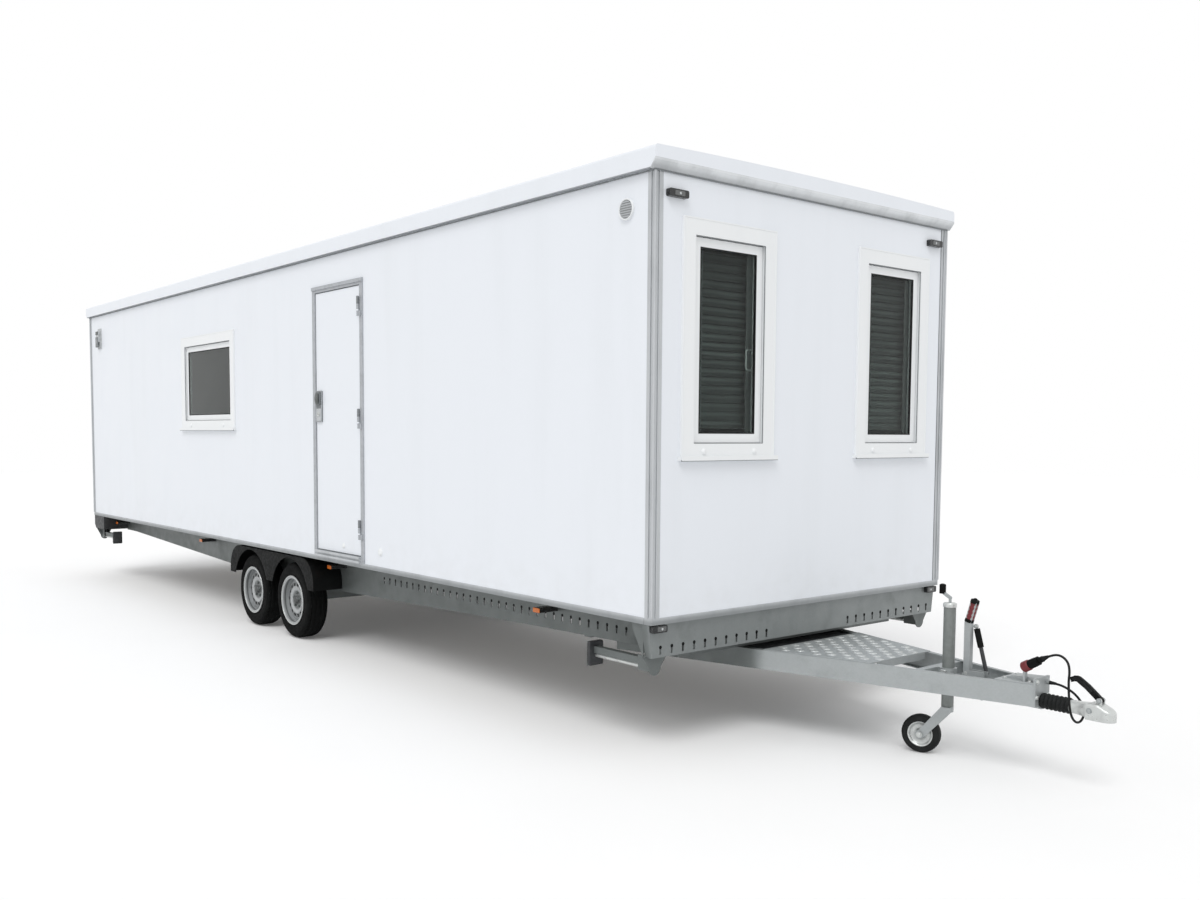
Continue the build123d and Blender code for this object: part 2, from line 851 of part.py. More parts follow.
# Rear beam that carries the tail lamps, an open channel with a chamfered lower edge
rear_low = rail_bottom - rear_beam_height
rear_beam_profile = (
    (x_rear, rail_bottom),
    (x_rear, rear_low + rear_beam_chamfer),
    (x_rear + rear_beam_chamfer, rear_low),
    (x_rear + rear_beam_length, rear_low),
    (x_rear + rear_beam_length, rail_bottom),
)
with BuildPart() as rear_light_beam:
    with BuildSketch(Plane.XZ):
        with BuildLine():
            Polyline(*rear_beam_profile, close=True)
        make_face()
    extrude(amount=half_width, both=True)
    inner_face = rear_light_beam.faces().sort_by(Axis.Z)[-1]
    offset(amount=-beam_sheet, openings=inner_face)
save(rear_light_beam, "rear_light_beam")

with BuildPart() as tail_lamps:
    for side in (-1, 1):
        with BuildSketch(Plane.YZ.offset(x_rear)):
            lamp_y = side * (half_width - tail_lamp_inset - tail_lamp_width / 2)
            with Locations((lamp_y, rail_bottom - tail_lamp_height / 2)):
                RectangleRounded(tail_lamp_width, tail_lamp_height, tail_lamp_height / 5)
        extrude(amount=-tail_lamp_proud)
save(tail_lamps, "tail_lamps")

# Drawbar plane: the level top of the two arms
drawbar_top = Plane((x_front, 0, arm_top))
arm_slope = (arm_spread - arm_tip_half) / arm_length


def arm_outer(ahead):
    """Distance of an arm's outer face from the middle, at a place ahead of the body."""
    return arm_spread - arm_slope * ahead


# Cross bearers under the floor; the two in front stand on the drawbar arms
bearer_half = beam_half - beam_flange
hanger_low = arm_top + seat_gap
with BuildPart() as cross_bearers:
    for share in bearer_back_shares:
        with BuildSketch(Plane.XY.offset(rail_bottom - bearer_depth)):
            with Locations((x_front - share * body_length, 0)):
                Rectangle(bearer_width, 2 * bearer_half)
        extrude(amount=bearer_depth)
    with BuildSketch(Plane.XY.offset(hanger_low)):
        with Locations((x_front - hanger_back, 0), (x_front - arm_root + bearer_width / 2, 0)):
            Rectangle(bearer_width, 2 * bearer_half)
    extrude(amount=rail_bottom - hanger_low)
save(cross_bearers, "cross_bearers")


# Drawbar arms: pressed channels, open inwards, whose flanges narrow towards the coupling
def arm_section(ahead, side, flange):
    """Section of one arm at a place ahead of the body, its web outside."""
    outer = side * arm_outer(ahead)
    web = side * (arm_outer(ahead) - arm_wall)
    inner = side * (arm_outer(ahead) - flange)
    with BuildSketch(Plane.YZ.offset(x_front + ahead)) as section:
        with BuildLine():
            Polyline(
                (outer, arm_low),
                (outer, arm_top),
                (inner, arm_top),
                (inner, arm_top - arm_wall),
                (web, arm_top - arm_wall),
                (web, arm_low + arm_wall),
                (inner, arm_low + arm_wall),
                (inner, arm_low),
                close=True,
            )
        make_face()
    return section.sketch.face()


with BuildPart() as drawbar_arms:
    for side in (-1, 1):
        root_section = arm_section(-arm_root, side, arm_flange)
        tip_section = arm_section(arm_length, side, arm_tip_flange)
        loft([root_section, tip_section], ruled=True)
save(drawbar_arms, "drawbar_arms")

# Step plate on the arms with its front lip folded down between them
step_inner = arm_outer(step_end) - arm_flange - step_margin
with BuildPart() as drawbar_step:
    with BuildSketch(drawbar_top):
        with BuildLine():
            Polyline(
                (step_start, step_margin - arm_outer(step_start)),
                (step_end, step_margin - arm_outer(step_end)),
                (step_end, arm_outer(step_end) - step_margin),
                (step_start, arm_outer(step_start) - step_margin),
                close=True,
            )
        make_face()
    extrude(amount=step_sheet)
    block(drawbar_top, (step_end - step_sheet, -step_inner, -step_lip), (step_end, step_inner, step_sheet))
save(drawbar_step, "drawbar_step")

# Bridge inside the arms' channels with the clamp that holds the jockey tube
bridge_end = bridge_start + bridge_depth
bridge_seat = arm_wall + seat_gap
clamp_plane = drawbar_top.offset(-bridge_seat - bridge_height)
with BuildPart() as drawbar_bridge:
    with BuildSketch(clamp_plane):
        with BuildLine():
            Polyline(
                (bridge_start, bridge_seat - arm_outer(bridge_start)),
                (bridge_end, bridge_seat - arm_outer(bridge_end)),
                (bridge_end, arm_outer(bridge_end) - bridge_seat),
                (bridge_start, arm_outer(bridge_start) - bridge_seat),
                close=True,
            )
        make_face()
        with Locations((jockey_ahead, 0)):
            Circle(clamp_radius)
        with Locations(((bridge_start + jockey_ahead) / 2, 0)):
            Rectangle(jockey_ahead - bridge_start, 2 * jockey_radius)
        with Locations((jockey_ahead, 0)):
            Circle(jockey_radius + fit_gap, mode=Mode.SUBTRACT)
    extrude(amount=bridge_height)
save(drawbar_bridge, "drawbar_bridge")

# Overrun housing between the arm tips: end plate, guide tube, top plate, lever cheeks, gland, plug holder
tube_axis = Plane(origin=(x_front, 0, tube_height), x_dir=(0, 1, 0), z_dir=(1, 0, 0))
lever_pivot = (lever_ahead, lever_pivot_height)
strut_foot = (lever_ahead + strut_foot_ahead, lever_pivot_height + strut_foot_rise)
strut_head = (lever_ahead + strut_head_ahead, lever_pivot_height + strut_head_rise)
cheek_gap = lever_thickness / 2 + fit_gap
plug_rear = Vector(x_front + lead_route[-1][0], lead_route[-1][1], lead_route[-1][2])
plug_run = Vector(*[lead_route[-1][i] - lead_route[-2][i] for i in range(3)]).normalized()
plug_axis = Plane(origin=plug_rear, x_dir=(0, 1, 0), z_dir=plug_run)
plug_tip = plug_rear + plug_run * plug_length
swing_eye_height = tube_height - housing_radius - swing_drop + swing_eye
with BuildPart() as overrun_housing:
    with BuildSketch(tube_axis.offset(arm_length)):
        with Locations((0, arm_low - tube_height)):
            Rectangle(2 * arm_tip_half, arm_height + end_plate_above, align=(Align.CENTER, Align.MIN))
        Circle(housing_radius)
    extrude(amount=end_plate)
    with BuildSketch(drawbar_top):
        with BuildLine():
            Polyline(
                (top_plate_start, arm_wall - arm_outer(top_plate_start)),
                (arm_length, arm_wall - arm_outer(arm_length)),
                (arm_length, arm_outer(arm_length) - arm_wall),
                (top_plate_start, arm_outer(top_plate_start) - arm_wall),
                close=True,
            )
        make_face()
    extrude(amount=top_plate_sheet)
    with BuildSketch(middle_plane):
        with BuildLine():
            Polyline(
                (top_plate_start, arm_top),
                (top_plate_start + hump_run, arm_top + end_plate_above - top_plate_sheet),
                (arm_length, arm_top + end_plate_above),
                (arm_length, arm_top),
                close=True,
            )
        make_face()
    extrude(amount=hump_half, both=True)
    with BuildSketch(tube_axis.offset(housing_start)):
        Circle(housing_radius)
    extrude(amount=arm_length - housing_start)
    block(
        drawbar_top,
        (top_plate_start, -web_half, tube_height - arm_top),
        (arm_length, web_half, top_plate_sheet),
    )
    with BuildSketch(middle_plane):
        with BuildLine():
            Polyline(
                (strut_foot[0] - swing_length / 2, tube_height),
                (strut_foot[0] + swing_length / 2, tube_height),
                (strut_foot[0] + swing_eye, swing_eye_height),
                (strut_foot[0] - swing_eye, swing_eye_height),
                close=True,
            )
        make_face()
        with Locations((strut_foot[0], swing_eye_height)):
            Circle(swing_eye)
    extrude(amount=swing_half, both=True)
    for side in (-1, 1):
        with BuildSketch(middle_plane.offset(-side * cheek_gap)):
            with BuildLine():
                Polyline(
                    (lever_pivot[0] - lever_width, tube_height),
                    (lever_pivot[0] + strut_foot_ahead + lever_width / 2, tube_height),
                    (strut_foot[0] + lever_width / 2, strut_foot[1] + strut_eye_radius),
                    (lever_pivot[0], lever_pivot[1] + lever_width / 2),
                    (lever_pivot[0] - lever_width / 2, lever_pivot[1]),
                    close=True,
                )
            make_face()
        extrude(amount=-side * lever_cheek)
    with BuildSketch(middle_plane.offset(-cheek_gap - lever_cheek)):
        with Locations(lever_pivot):
            Circle(pin_radius)
    extrude(amount=2 * (cheek_gap + lever_cheek))
    with BuildSketch(middle_plane.offset(-cheek_gap)):
        with Locations(strut_foot):
            Circle(pin_radius)
    extrude(amount=cheek_gap - strut_side - strut_eye_width / 2)
    with BuildSketch(tube_axis.offset(arm_length)):
        with Locations((lead_route[0][1], lead_route[0][2] - tube_height)):
            Circle(gland_radius)
    extrude(amount=lead_route[0][0] - arm_length)
    with BuildSketch(plug_axis.offset(plug_length)):
        Circle(holder_radius)
    extrude(amount=holder_length)
    holder_middle = plug_tip + plug_run * (holder_length / 2)
    with BuildSketch(drawbar_top):
        with Locations((holder_middle.X - x_front, holder_middle.Y)):
            Rectangle(holder_leg, holder_radius)
    extrude(amount=holder_middle.Z - arm_top)
    with BuildSketch(tube_axis):
        Circle(draw_radius + fit_gap)
    extrude(amount=drawbar_reach, mode=Mode.SUBTRACT)
save(overrun_housing, "overrun_housing")

# Coupling head with its draw tube, ball socket and handle ears
socket_x = drawbar_reach - socket_back
head_low = tube_height - head_height / 2
head_back = drawbar_reach - head_half_width - head_body_length
handle_pivot = (drawbar_reach - handle_pivot_back, tube_height + head_height / 2 + handle_pivot_rise)
with BuildPart() as coupling_head:
    with BuildSketch(middle_plane):
        with BuildLine():
            Polyline(
                (head_back, head_low),
                (drawbar_reach, head_low),
                (drawbar_reach, head_low + head_nose_height),
                (handle_pivot[0], head_low + head_height),
                (head_back, head_low + head_height),
                close=True,
            )
        make_face()
    extrude(amount=head_half_width, both=True)
    with BuildSketch(Plane.XY.offset(head_low)):
        with Locations((x_front + drawbar_reach - head_half_width, 0)):
            Circle(head_half_width)
        with Locations((x_front + drawbar_reach - head_half_width - head_body_length / 2, 0)):
            Rectangle(head_body_length, 2 * head_half_width)
    extrude(amount=head_height, mode=Mode.INTERSECT)
    head_top = coupling_head.faces().sort_by(Axis.Z)[-2:]
    fillet([edge for face in head_top for edge in face.edges()], radius=head_round)
    with BuildSketch(tube_axis.offset(head_start)):
        Circle(bellows_neck - fit_gap)
    with BuildSketch(tube_axis.offset(head_back)):
        Rectangle(2 * (head_half_width - head_round), head_height - head_round)
    loft()
    with BuildSketch(tube_axis.offset(draw_start)):
        Circle(draw_radius)
    extrude(amount=head_start - draw_start)
    for side in (-1, 1):
        with BuildSketch(middle_plane.offset(-side * (handle_thickness / 2 + fit_gap))):
            with Locations(handle_pivot):
                Circle(handle_width / 2)
            with Locations((handle_pivot[0], (handle_pivot[1] + tube_height) / 2)):
                Rectangle(handle_width, handle_pivot[1] - tube_height)
        extrude(amount=-side * ear_thickness)
    with BuildSketch(middle_plane.offset(-handle_thickness / 2 - ear_thickness)):
        with Locations(handle_pivot):
            Circle(pin_radius)
    extrude(amount=handle_thickness + 2 * ear_thickness)
    with BuildSketch(Plane.XY.offset(head_low)):
        with Locations((x_front + socket_x, 0)):
            Circle(socket_radius)
    extrude(amount=socket_depth, mode=Mode.SUBTRACT)
save(coupling_head, "coupling_head")

# Coupling handle, a bent grip on a pin between the ears
handle_line = [
    (handle_pivot[0] + x * handle_reach, handle_pivot[1] + z * handle_reach) for x, z in handle_points_shares
]
with BuildPart() as coupling_handle:
    with BuildSketch(middle_plane):
        with BuildLine():
            FilletPolyline(*handle_line, radius=handle_width)
        trace(line_width=handle_width)
        with Locations(handle_pivot):
            Circle(handle_width / 2)
    extrude(amount=handle_thickness / 2, both=True)
    with BuildSketch(middle_plane):
        with Locations(handle_pivot):
            Circle(pin_radius + fit_gap)
    extrude(amount=handle_thickness, both=True, mode=Mode.SUBTRACT)
save(coupling_handle, "coupling_handle")

# Rubber bellows between the end plate and the head
fold = bellows_length / bellows_folds
bellows_bore = draw_radius + fit_gap
with BuildPart() as bellows:
    with BuildSketch(Plane(origin=(x_front, 0, tube_height), x_dir=(1, 0, 0), z_dir=(0, -1, 0))):
        with BuildLine():
            folds = []
            for index in range(bellows_folds):
                start = bellows_start + index * fold
                folds += [(start, bellows_neck), (start + fold / 2, bellows_radius)]
            Polyline(
                (bellows_start, bellows_bore),
                *folds,
                (head_start, bellows_neck),
                (head_start, bellows_bore),
                close=True,
            )
        make_face()
    revolve(axis=Axis((x_front, 0, tube_height), (1, 0, 0)))
save(bellows, "bellows")

# Handbrake lever with a cranked grip, on its pin
grip_top = (lever_pivot[0] + lever_grip_lean, lever_pivot[1] + lever_straight + lever_grip)
with BuildPart() as brake_lever:
    with BuildSketch(middle_plane):
        with BuildLine():
            FilletPolyline(
                lever_pivot,
                (lever_pivot[0], lever_pivot[1] + lever_straight),
                grip_top,
                radius=lever_width,
            )
        trace(line_width=lever_width)
        with Locations(lever_pivot):
            Circle(lever_width / 2)
    extrude(amount=lever_thickness / 2, both=True)
    fillet(brake_lever.edges().filter_by(Axis.Y).sort_by(Axis.Z)[-2:], radius=lever_width / 3)
    with BuildSketch(middle_plane):
        with Locations(lever_pivot):
            Circle(pin_radius + fit_gap)
    extrude(amount=lever_thickness, both=True, mode=Mode.SUBTRACT)
save(brake_lever, "brake_lever")

# Gas strut beside the lever: a cylinder on a foot pin and a rod that slides in it
strut_vector = Vector(strut_head[0] - strut_foot[0], 0, strut_head[1] - strut_foot[1])
strut_length = strut_vector.length
strut_line = strut_vector.normalized()
strut_plane = Plane(
    origin=(x_front + strut_foot[0], strut_side, strut_foot[1]),
    x_dir=(0, 1, 0),
    z_dir=strut_line,
)
strut_side_plane = Plane(origin=(x_front, strut_side, 0), x_dir=(1, 0, 0), z_dir=(0, -1, 0))
with BuildPart() as strut_cylinder:
    with BuildSketch(strut_plane.offset(strut_eye_radius / 2)):
        Circle(strut_radius)
    extrude(amount=strut_length * strut_body_share)
    with BuildSketch(strut_side_plane):
        with Locations(strut_foot):
            Circle(strut_eye_radius)
    extrude(amount=strut_eye_width / 2, both=True)
    with BuildSketch(strut_plane.offset(strut_eye_radius * 2)):
        Circle(strut_rod_radius + fit_gap)
    extrude(amount=strut_length, mode=Mode.SUBTRACT)
    with BuildSketch(strut_side_plane):
        with Locations(strut_foot):
            Circle(pin_radius + fit_gap)
    extrude(amount=strut_eye_width, both=True, mode=Mode.SUBTRACT)
save(strut_cylinder, "strut_cylinder")

with BuildPart() as strut_rod:
    rod_length = strut_length * strut_rod_share
    with BuildSketch(strut_plane.offset(strut_length - rod_length)):
        Circle(strut_rod_radius)
    extrude(amount=rod_length)
    with BuildSketch(strut_side_plane):
        with Locations(strut_head):
            Circle(strut_eye_radius)
    extrude(amount=strut_eye_width / 2, both=True)
    with BuildSketch(strut_side_plane):
        with Locations(strut_head):
            Circle(pin_radius)
    extrude(amount=strut_side - cheek_gap)
save(strut_rod, "strut_rod")

# Jockey wheel: clamped outer tube with a crank, turning fork and a solid wheel
jockey_foot = Plane(origin=(x_front + jockey_ahead, 0, jockey_low), z_dir=(0, 0, 1))
with BuildPart() as jockey_tube:
    with BuildSketch(jockey_foot):
        Circle(jockey_radius)
    extrude(amount=jockey_top - jockey_low)
    with BuildSketch(jockey_foot):
        Circle(jockey_inner_radius + fit_gap)
    extrude(amount=jockey_inner_top + fit_gap - jockey_low, mode=Mode.SUBTRACT)
save(jockey_tube, "jockey_tube")

with BuildPart() as jockey_crank:
    crank_top = jockey_top + crank_rise
    with BuildSketch(jockey_foot.offset(jockey_top - jockey_low)):
        Circle(crank_radius)
    extrude(amount=crank_rise + crank_radius / 2)
    with BuildSketch(middle_plane):
        with BuildLine():
            Line((jockey_ahead, crank_top), (jockey_ahead - crank_throw, crank_top + crank_lift))
        trace(line_width=2 * crank_radius)
        with Locations((jockey_ahead, crank_top)):
            Circle(crank_radius)
    extrude(amount=crank_radius, both=True)
    knob_foot = Plane(origin=(x_front + jockey_ahead - crank_throw, 0, crank_top + crank_lift - crank_radius))
    with BuildSketch(knob_foot):
        Circle(knob_radius)
    extrude(amount=knob_height)
    fillet(jockey_crank.edges().filter_by(GeomType.CIRCLE).group_by(Axis.Z)[-1], radius=knob_round)
save(jockey_crank, "jockey_crank")

trail = Vector(cos(radians(fork_trail_angle)), sin(radians(fork_trail_angle)), 0)
axle_way = Vector(-trail.Y, trail.X, 0)
jockey_hub = Vector(x_front + jockey_ahead, 0, 0) + trail * fork_trail + Vector(0, 0, jockey_wheel_radius)
hub_plane = Plane(origin=jockey_hub, x_dir=trail, z_dir=axle_way)
hub_up = hub_plane.to_local_coords(jockey_hub + Vector(0, 0, 1)).Y
collar_low = jockey_low - fit_gap - fork_collar_height
with BuildPart() as jockey_fork:
    with BuildSketch(Plane(origin=(x_front + jockey_ahead, 0, collar_low), x_dir=trail, z_dir=(0, 0, 1))):
        Circle(jockey_radius)
        Rectangle(fork_width, 2 * fork_half)
    extrude(amount=fork_collar_height)
    with BuildSketch(jockey_foot.offset(-fit_gap)):
        Circle(jockey_inner_radius)
    extrude(amount=jockey_inner_top - jockey_low)
    collar_rise = collar_low - jockey_wheel_radius
    for side in (-1, 1):
        start = fork_half - fork_plate if side > 0 else -fork_half
        with BuildSketch(hub_plane.offset(start)):
            Circle(fork_width / 2)
            with BuildLine():
                Polyline(
                    (-fork_trail - fork_width / 2, hub_up * (collar_rise + fork_collar_height)),
                    (-fork_trail + fork_width / 2, hub_up * (collar_rise + fork_collar_height)),
                    (fork_width / 2, 0),
                    (0, -hub_up * fork_width / 2),
                    (-fork_width / 2, -hub_up * fork_width / 4),
                    (-fork_trail - fork_width / 2, hub_up * collar_rise),
                    close=True,
                )
            make_face()
        extrude(amount=fork_plate)
    with BuildSketch(hub_plane.offset(-fork_half)):
        Circle(jockey_axle_radius)
    extrude(amount=2 * fork_half)
save(jockey_fork, "jockey_fork")

wheel_half_outline = [
    (-jockey_wheel_width / 2, jockey_axle_radius + fit_gap),
    (-jockey_wheel_width / 2, jockey_hub_radius),
    (jockey_rim_depth - jockey_wheel_width / 2, jockey_hub_radius),
    (jockey_rim_depth - jockey_wheel_width / 2, jockey_rim_radius),
    (-jockey_wheel_width / 2, jockey_rim_radius),
    (-jockey_wheel_width / 2, jockey_wheel_radius),
]
with BuildPart() as jockey_wheel:
    with BuildSketch(Plane(origin=jockey_hub, x_dir=axle_way, z_dir=trail)) as wheel_section:
        with BuildLine():
            Polyline(*wheel_half_outline, *[(-x, r) for x, r in reversed(wheel_half_outline)], close=True)
        make_face()
        fillet(wheel_section.vertices().group_by(Axis.Y)[-1], radius=jockey_tyre_round)
    revolve(axis=Axis(jockey_hub, axle_way))
save(jockey_wheel, "jockey_wheel")


# Axles: a square tube under the beams with trailing arms and stub shafts
def axle_ahead(index):
    """Place of an axle, measured back from the body's front."""
    return -axle_back + (index - 0.5) * axle_spacing


tyre_outer = half_width - tyre_inset
tube_top = rail_bottom - beam_middle_depth
arm_inner = beam_half + arm_plate / 2
with BuildPart() as axles:
    for index in range(2):
        hub_x = axle_ahead(index)
        tube_x = hub_x + axle_lead
        with BuildSketch(Plane.XY.offset(tube_top - axle_tube)):
            with Locations((x_front + tube_x, 0)):
                Rectangle(axle_tube, 2 * arm_inner)
        extrude(amount=axle_tube)
        for side in (-1, 1):
            arm_face = Plane(origin=(x_front, side * arm_inner, 0), x_dir=(1, 0, 0), z_dir=(0, -1, 0))
            with BuildSketch(arm_face):
                with BuildLine():
                    Line((tube_x, tube_top - axle_tube / 2), (hub_x, tyre_radius))
                trace(line_width=axle_tube * 2 / 3)
                with Locations((tube_x, tube_top - axle_tube / 2), (hub_x, tyre_radius)):
                    Circle(axle_tube / 3)
            extrude(amount=-side * arm_plate)
            with BuildSketch(arm_face.offset(-side * arm_plate)):
                with Locations((hub_x, tyre_radius)):
                    Circle(stub_radius)
            extrude(amount=-side * (tyre_outer - tyre_width / 4 - arm_inner - arm_plate))
save(axles, "axles")

# Road wheels: tyre and pressed steel rim, turning together
tyre_half_outline = [
    (bead_inset, bead_seat + fit_gap),
    (bead_inset, rim_radius + fit_gap),
    (0, (tyre_radius + rim_radius + bead_seat) / 3),
    (0, tyre_radius),
]
tyre_outline = tyre_half_outline + [(tyre_width - x, r) for x, r in reversed(tyre_half_outline)]
rim_outline = [(x * tyre_width, r * rim_radius) for x, r in rim_outline_shares]
rim_outline[-1] = (rim_outline[-1][0], stub_radius + fit_gap)
rim_face = [(x * tyre_width, r * rim_radius) for x, r in rim_face_shares]
rim_face[0] = (rim_face[0][0], stub_radius + fit_gap)
for index in range(2):
    for side in (-1, 1):
        wheel_name = f"{('rear', 'front')[index]}_{('right', 'left')[side > 0]}"
        hub = (x_front + axle_ahead(index), side * tyre_outer, tyre_radius)
        section = Plane(origin=hub, x_dir=(0, -side, 0), z_dir=(-side, 0, 0))
        spin = Axis(hub, (0, 1, 0))
        with BuildPart() as tyre:
            with BuildSketch(section) as tyre_section:
                with BuildLine():
                    Polyline(*tyre_outline, close=True)
                make_face()
                fillet(tyre_section.vertices().group_by(Axis.Y)[-1], radius=tyre_shoulder)
            revolve(axis=spin)
        save(tyre, f"tyre_{wheel_name}")
        with BuildPart() as rim:
            with BuildSketch(section):
                with BuildLine():
                    Polyline(*rim_outline, *rim_face, close=True)
                make_face()
            revolve(axis=spin)
            with BuildSketch(Plane(origin=hub, x_dir=(1, 0, 0), z_dir=(0, -side, 0))):
                with PolarLocations(rim_hole_circle, rim_hole_count):
                    Circle(rim_hole_radius)
            extrude(amount=tyre_width / 2, mode=Mode.SUBTRACT)
        save(rim, f"rim_{wheel_name}")

# Mudguards: a bent sheet over both wheels with an outer skirt cut round the tyres
with BuildPart() as mudguards:
    for side in (-1, 1):
        guard_outer = half_width - guard_side_gap
        skirt = Plane(origin=(x_front - axle_back, side * guard_outer, 0), x_dir=(1, 0, 0), z_dir=(0, -1, 0))
        for depth, shrink, mode in ((0, 0, Mode.ADD), (guard_sheet, guard_sheet, Mode.SUBTRACT)):
            with BuildSketch(skirt.offset(side * depth)) as guard_outline:
                with Locations((0, (guard_top - shrink + guard_low - shrink * overrun) / 2)):
                    Rectangle(2 * (guard_reach - shrink), guard_top - shrink - guard_low + shrink * overrun)
                fillet(guard_outline.vertices().group_by(Axis.Y)[-1], radius=guard_round - shrink)
            extrude(amount=side * (guard_outer - beam_half), mode=mode)
        with BuildSketch(skirt.offset(-side * overrun)):
            with Locations(*[(axle_ahead(index) + axle_back, tyre_radius) for index in range(2)]):
                Circle(tyre_radius + guard_wheel_gap)
        extrude(amount=side * (guard_sheet + 2 * overrun), mode=Mode.SUBTRACT)
save(mudguards, "mudguards")


# Corner steadies: brackets under the chassis ends and legs folded up against them
steady_half_gap = steady_leg_width / 2 + steady_play
steady_places = (
    ("front_right", 1, -1, x_front, plate_low),
    ("front_left", 1, 1, x_front, plate_low),
    ("rear_right", -1, -1, x_rear, rear_low),
    ("rear_left", -1, 1, x_rear, rear_low),
)


def steady_plane(end, side, end_x):
    """A plane across one steady: x runs inwards along the body, y is height, the middle of the leg at 0."""
    return Plane(origin=(end_x, side * (half_width - steady_inset), 0), x_dir=(-end, 0, 0), z_dir=(0, end, 0))


with BuildPart() as steady_brackets:
    for name, end, side, end_x, top in steady_places:
        across = steady_plane(end, side, end_x)
        ear_place = across.from_local_coords((steady_ear_back, 0, 0))
        ear_plane = Plane(origin=ear_place, x_dir=(0, 1, 0), z_dir=(1, 0, 0))
        with BuildSketch(ear_plane):
            with BuildLine():
                Polyline(
                    (-steady_ear_half, top),
                    (steady_ear_half, top),
                    (steady_ear_radius, steady_ear_low + steady_ear_radius),
                    (-steady_ear_radius, steady_ear_low + steady_ear_radius),
                    close=True,
                )
            make_face()
            with Locations((0, steady_ear_low + steady_ear_radius)):
                Circle(steady_ear_radius)
        extrude(amount=-end * steady_cheek)
        for cheek in (-1, 1):
            start = steady_half_gap if cheek > 0 else -steady_half_gap - steady_cheek
            block(
                across.offset(start),
                (steady_ear_back, steady_cheek_low, 0),
                (steady_pivot_back + steady_leg_height, top, steady_cheek),
            )
        with BuildSketch(across.offset(-steady_half_gap - steady_cheek)):
            with Locations((steady_pivot_back, steady_pivot_height)):
                Circle(pin_radius)
        extrude(amount=2 * (steady_half_gap + steady_cheek))
save(steady_brackets, "steady_brackets")

for name, end, side, end_x, top in steady_places:
    across = steady_plane(end, side, end_x)
    foot_back = steady_pivot_back + steady_leg_length
    with BuildPart() as steady_leg:
        block(
            across,
            (steady_pivot_back, steady_pivot_height - steady_leg_height / 2, -steady_leg_width / 2),
            (foot_back, steady_pivot_height + steady_leg_height / 2, steady_leg_width / 2),
        )
        with BuildSketch(across):
            with Locations((steady_pivot_back, steady_pivot_height)):
                Circle(steady_leg_height / 2)
        extrude(amount=steady_leg_width / 2, both=True)
        foot_middle = steady_pivot_height - foot_drop
        block(
            across,
            (foot_back, foot_middle - foot_height / 2, -foot_width / 2),
            (foot_back + foot_thickness, foot_middle + foot_height / 2, foot_width / 2),
        )
        spindle_low = steady_pivot_height - spindle_drop
        spindle_plane = Plane(
            origin=across.from_local_coords((steady_pivot_back - spindle_start, spindle_low, 0)),
            z_dir=(-end, 0, 0),
        )
        with BuildSketch(spindle_plane):
            Circle(spindle_radius)
        extrude(amount=spindle_start + steady_leg_length)
        with BuildSketch(across):
            with Locations((steady_pivot_back, steady_pivot_height)):
                Circle(pin_radius + fit_gap)
        extrude(amount=steady_leg_width, both=True, mode=Mode.SUBTRACT)
    save(steady_leg, f"steady_leg_{name}")

# Lead from the gland round under the draw tube and up to its plug
route = [(x_front + x, y, z) for x, y, z in lead_route]
runs = [Vector(*route[i + 1]) - Vector(*route[i]) for i in range(len(route) - 1)]
run_share = 0.45
radii = []
for before, after in zip(runs[:-1], runs[1:]):
    half_turn = radians(before.get_angle(after) / 2)
    radii.append(run_share * min(before.length, after.length) * cos(half_turn) / sin(half_turn))
print("lead radii", [round(radius) for radius in radii])
with BuildPart() as lead:
    with BuildLine() as lead_path:
        FilletPolyline(*route, radius=radii)
    with BuildSketch(Plane(origin=route[0], z_dir=runs[0])):
        Circle(lead_radius)
    sweep(path=lead_path.wire())
print("lead length", round(lead_path.wire().length))
save(lead, "lead")

# Plug: grip, collar and a narrow neck where the lead goes in
with BuildPart() as plug:
    with BuildSketch(plug_axis):
        Circle(plug_neck)
    extrude(amount=plug_collar)
    with BuildSketch(plug_axis.offset(plug_collar)):
        Circle(plug_radius)
    extrude(amount=plug_length - plug_collar)
save(plug, "plug")
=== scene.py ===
import json
from math import cos, pi, radians, sin, tau

import bmesh
import bpy
import numpy as np
from bpy.props import FloatProperty, FloatVectorProperty, IntProperty, PointerProperty
from mathutils import Matrix, Vector


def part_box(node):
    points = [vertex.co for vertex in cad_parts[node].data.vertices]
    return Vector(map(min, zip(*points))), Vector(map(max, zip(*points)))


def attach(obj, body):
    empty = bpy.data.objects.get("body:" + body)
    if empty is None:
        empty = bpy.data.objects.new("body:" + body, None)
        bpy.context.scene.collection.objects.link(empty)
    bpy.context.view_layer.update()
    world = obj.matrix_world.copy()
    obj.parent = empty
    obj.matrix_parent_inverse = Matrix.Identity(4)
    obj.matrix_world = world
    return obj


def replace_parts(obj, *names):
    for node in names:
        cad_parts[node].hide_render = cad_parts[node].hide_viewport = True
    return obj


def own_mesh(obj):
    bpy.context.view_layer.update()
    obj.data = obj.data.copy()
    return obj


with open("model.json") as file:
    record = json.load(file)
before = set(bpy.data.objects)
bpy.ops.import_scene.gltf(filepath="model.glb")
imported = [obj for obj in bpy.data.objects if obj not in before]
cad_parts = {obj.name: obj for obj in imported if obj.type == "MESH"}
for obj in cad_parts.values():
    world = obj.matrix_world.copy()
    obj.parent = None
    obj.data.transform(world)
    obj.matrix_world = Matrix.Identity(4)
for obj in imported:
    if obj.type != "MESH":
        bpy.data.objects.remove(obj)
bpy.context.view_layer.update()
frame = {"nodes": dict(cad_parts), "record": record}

bl_info = {
    "name": "Towable site cabin",
    "version": (1, 0, 0),
    "blender": (4, 5, 0),
    "location": "View3D > Sidebar > Cabin",
    "description": "Finishes, fittings and studio for the packed site cabin",
    "category": "Object",
}


def box(node):
    """Low and high corner of a CAD node's box."""
    low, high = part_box(node)
    return np.array(low, float), np.array(high, float)


# Places and names from the frame, in metres

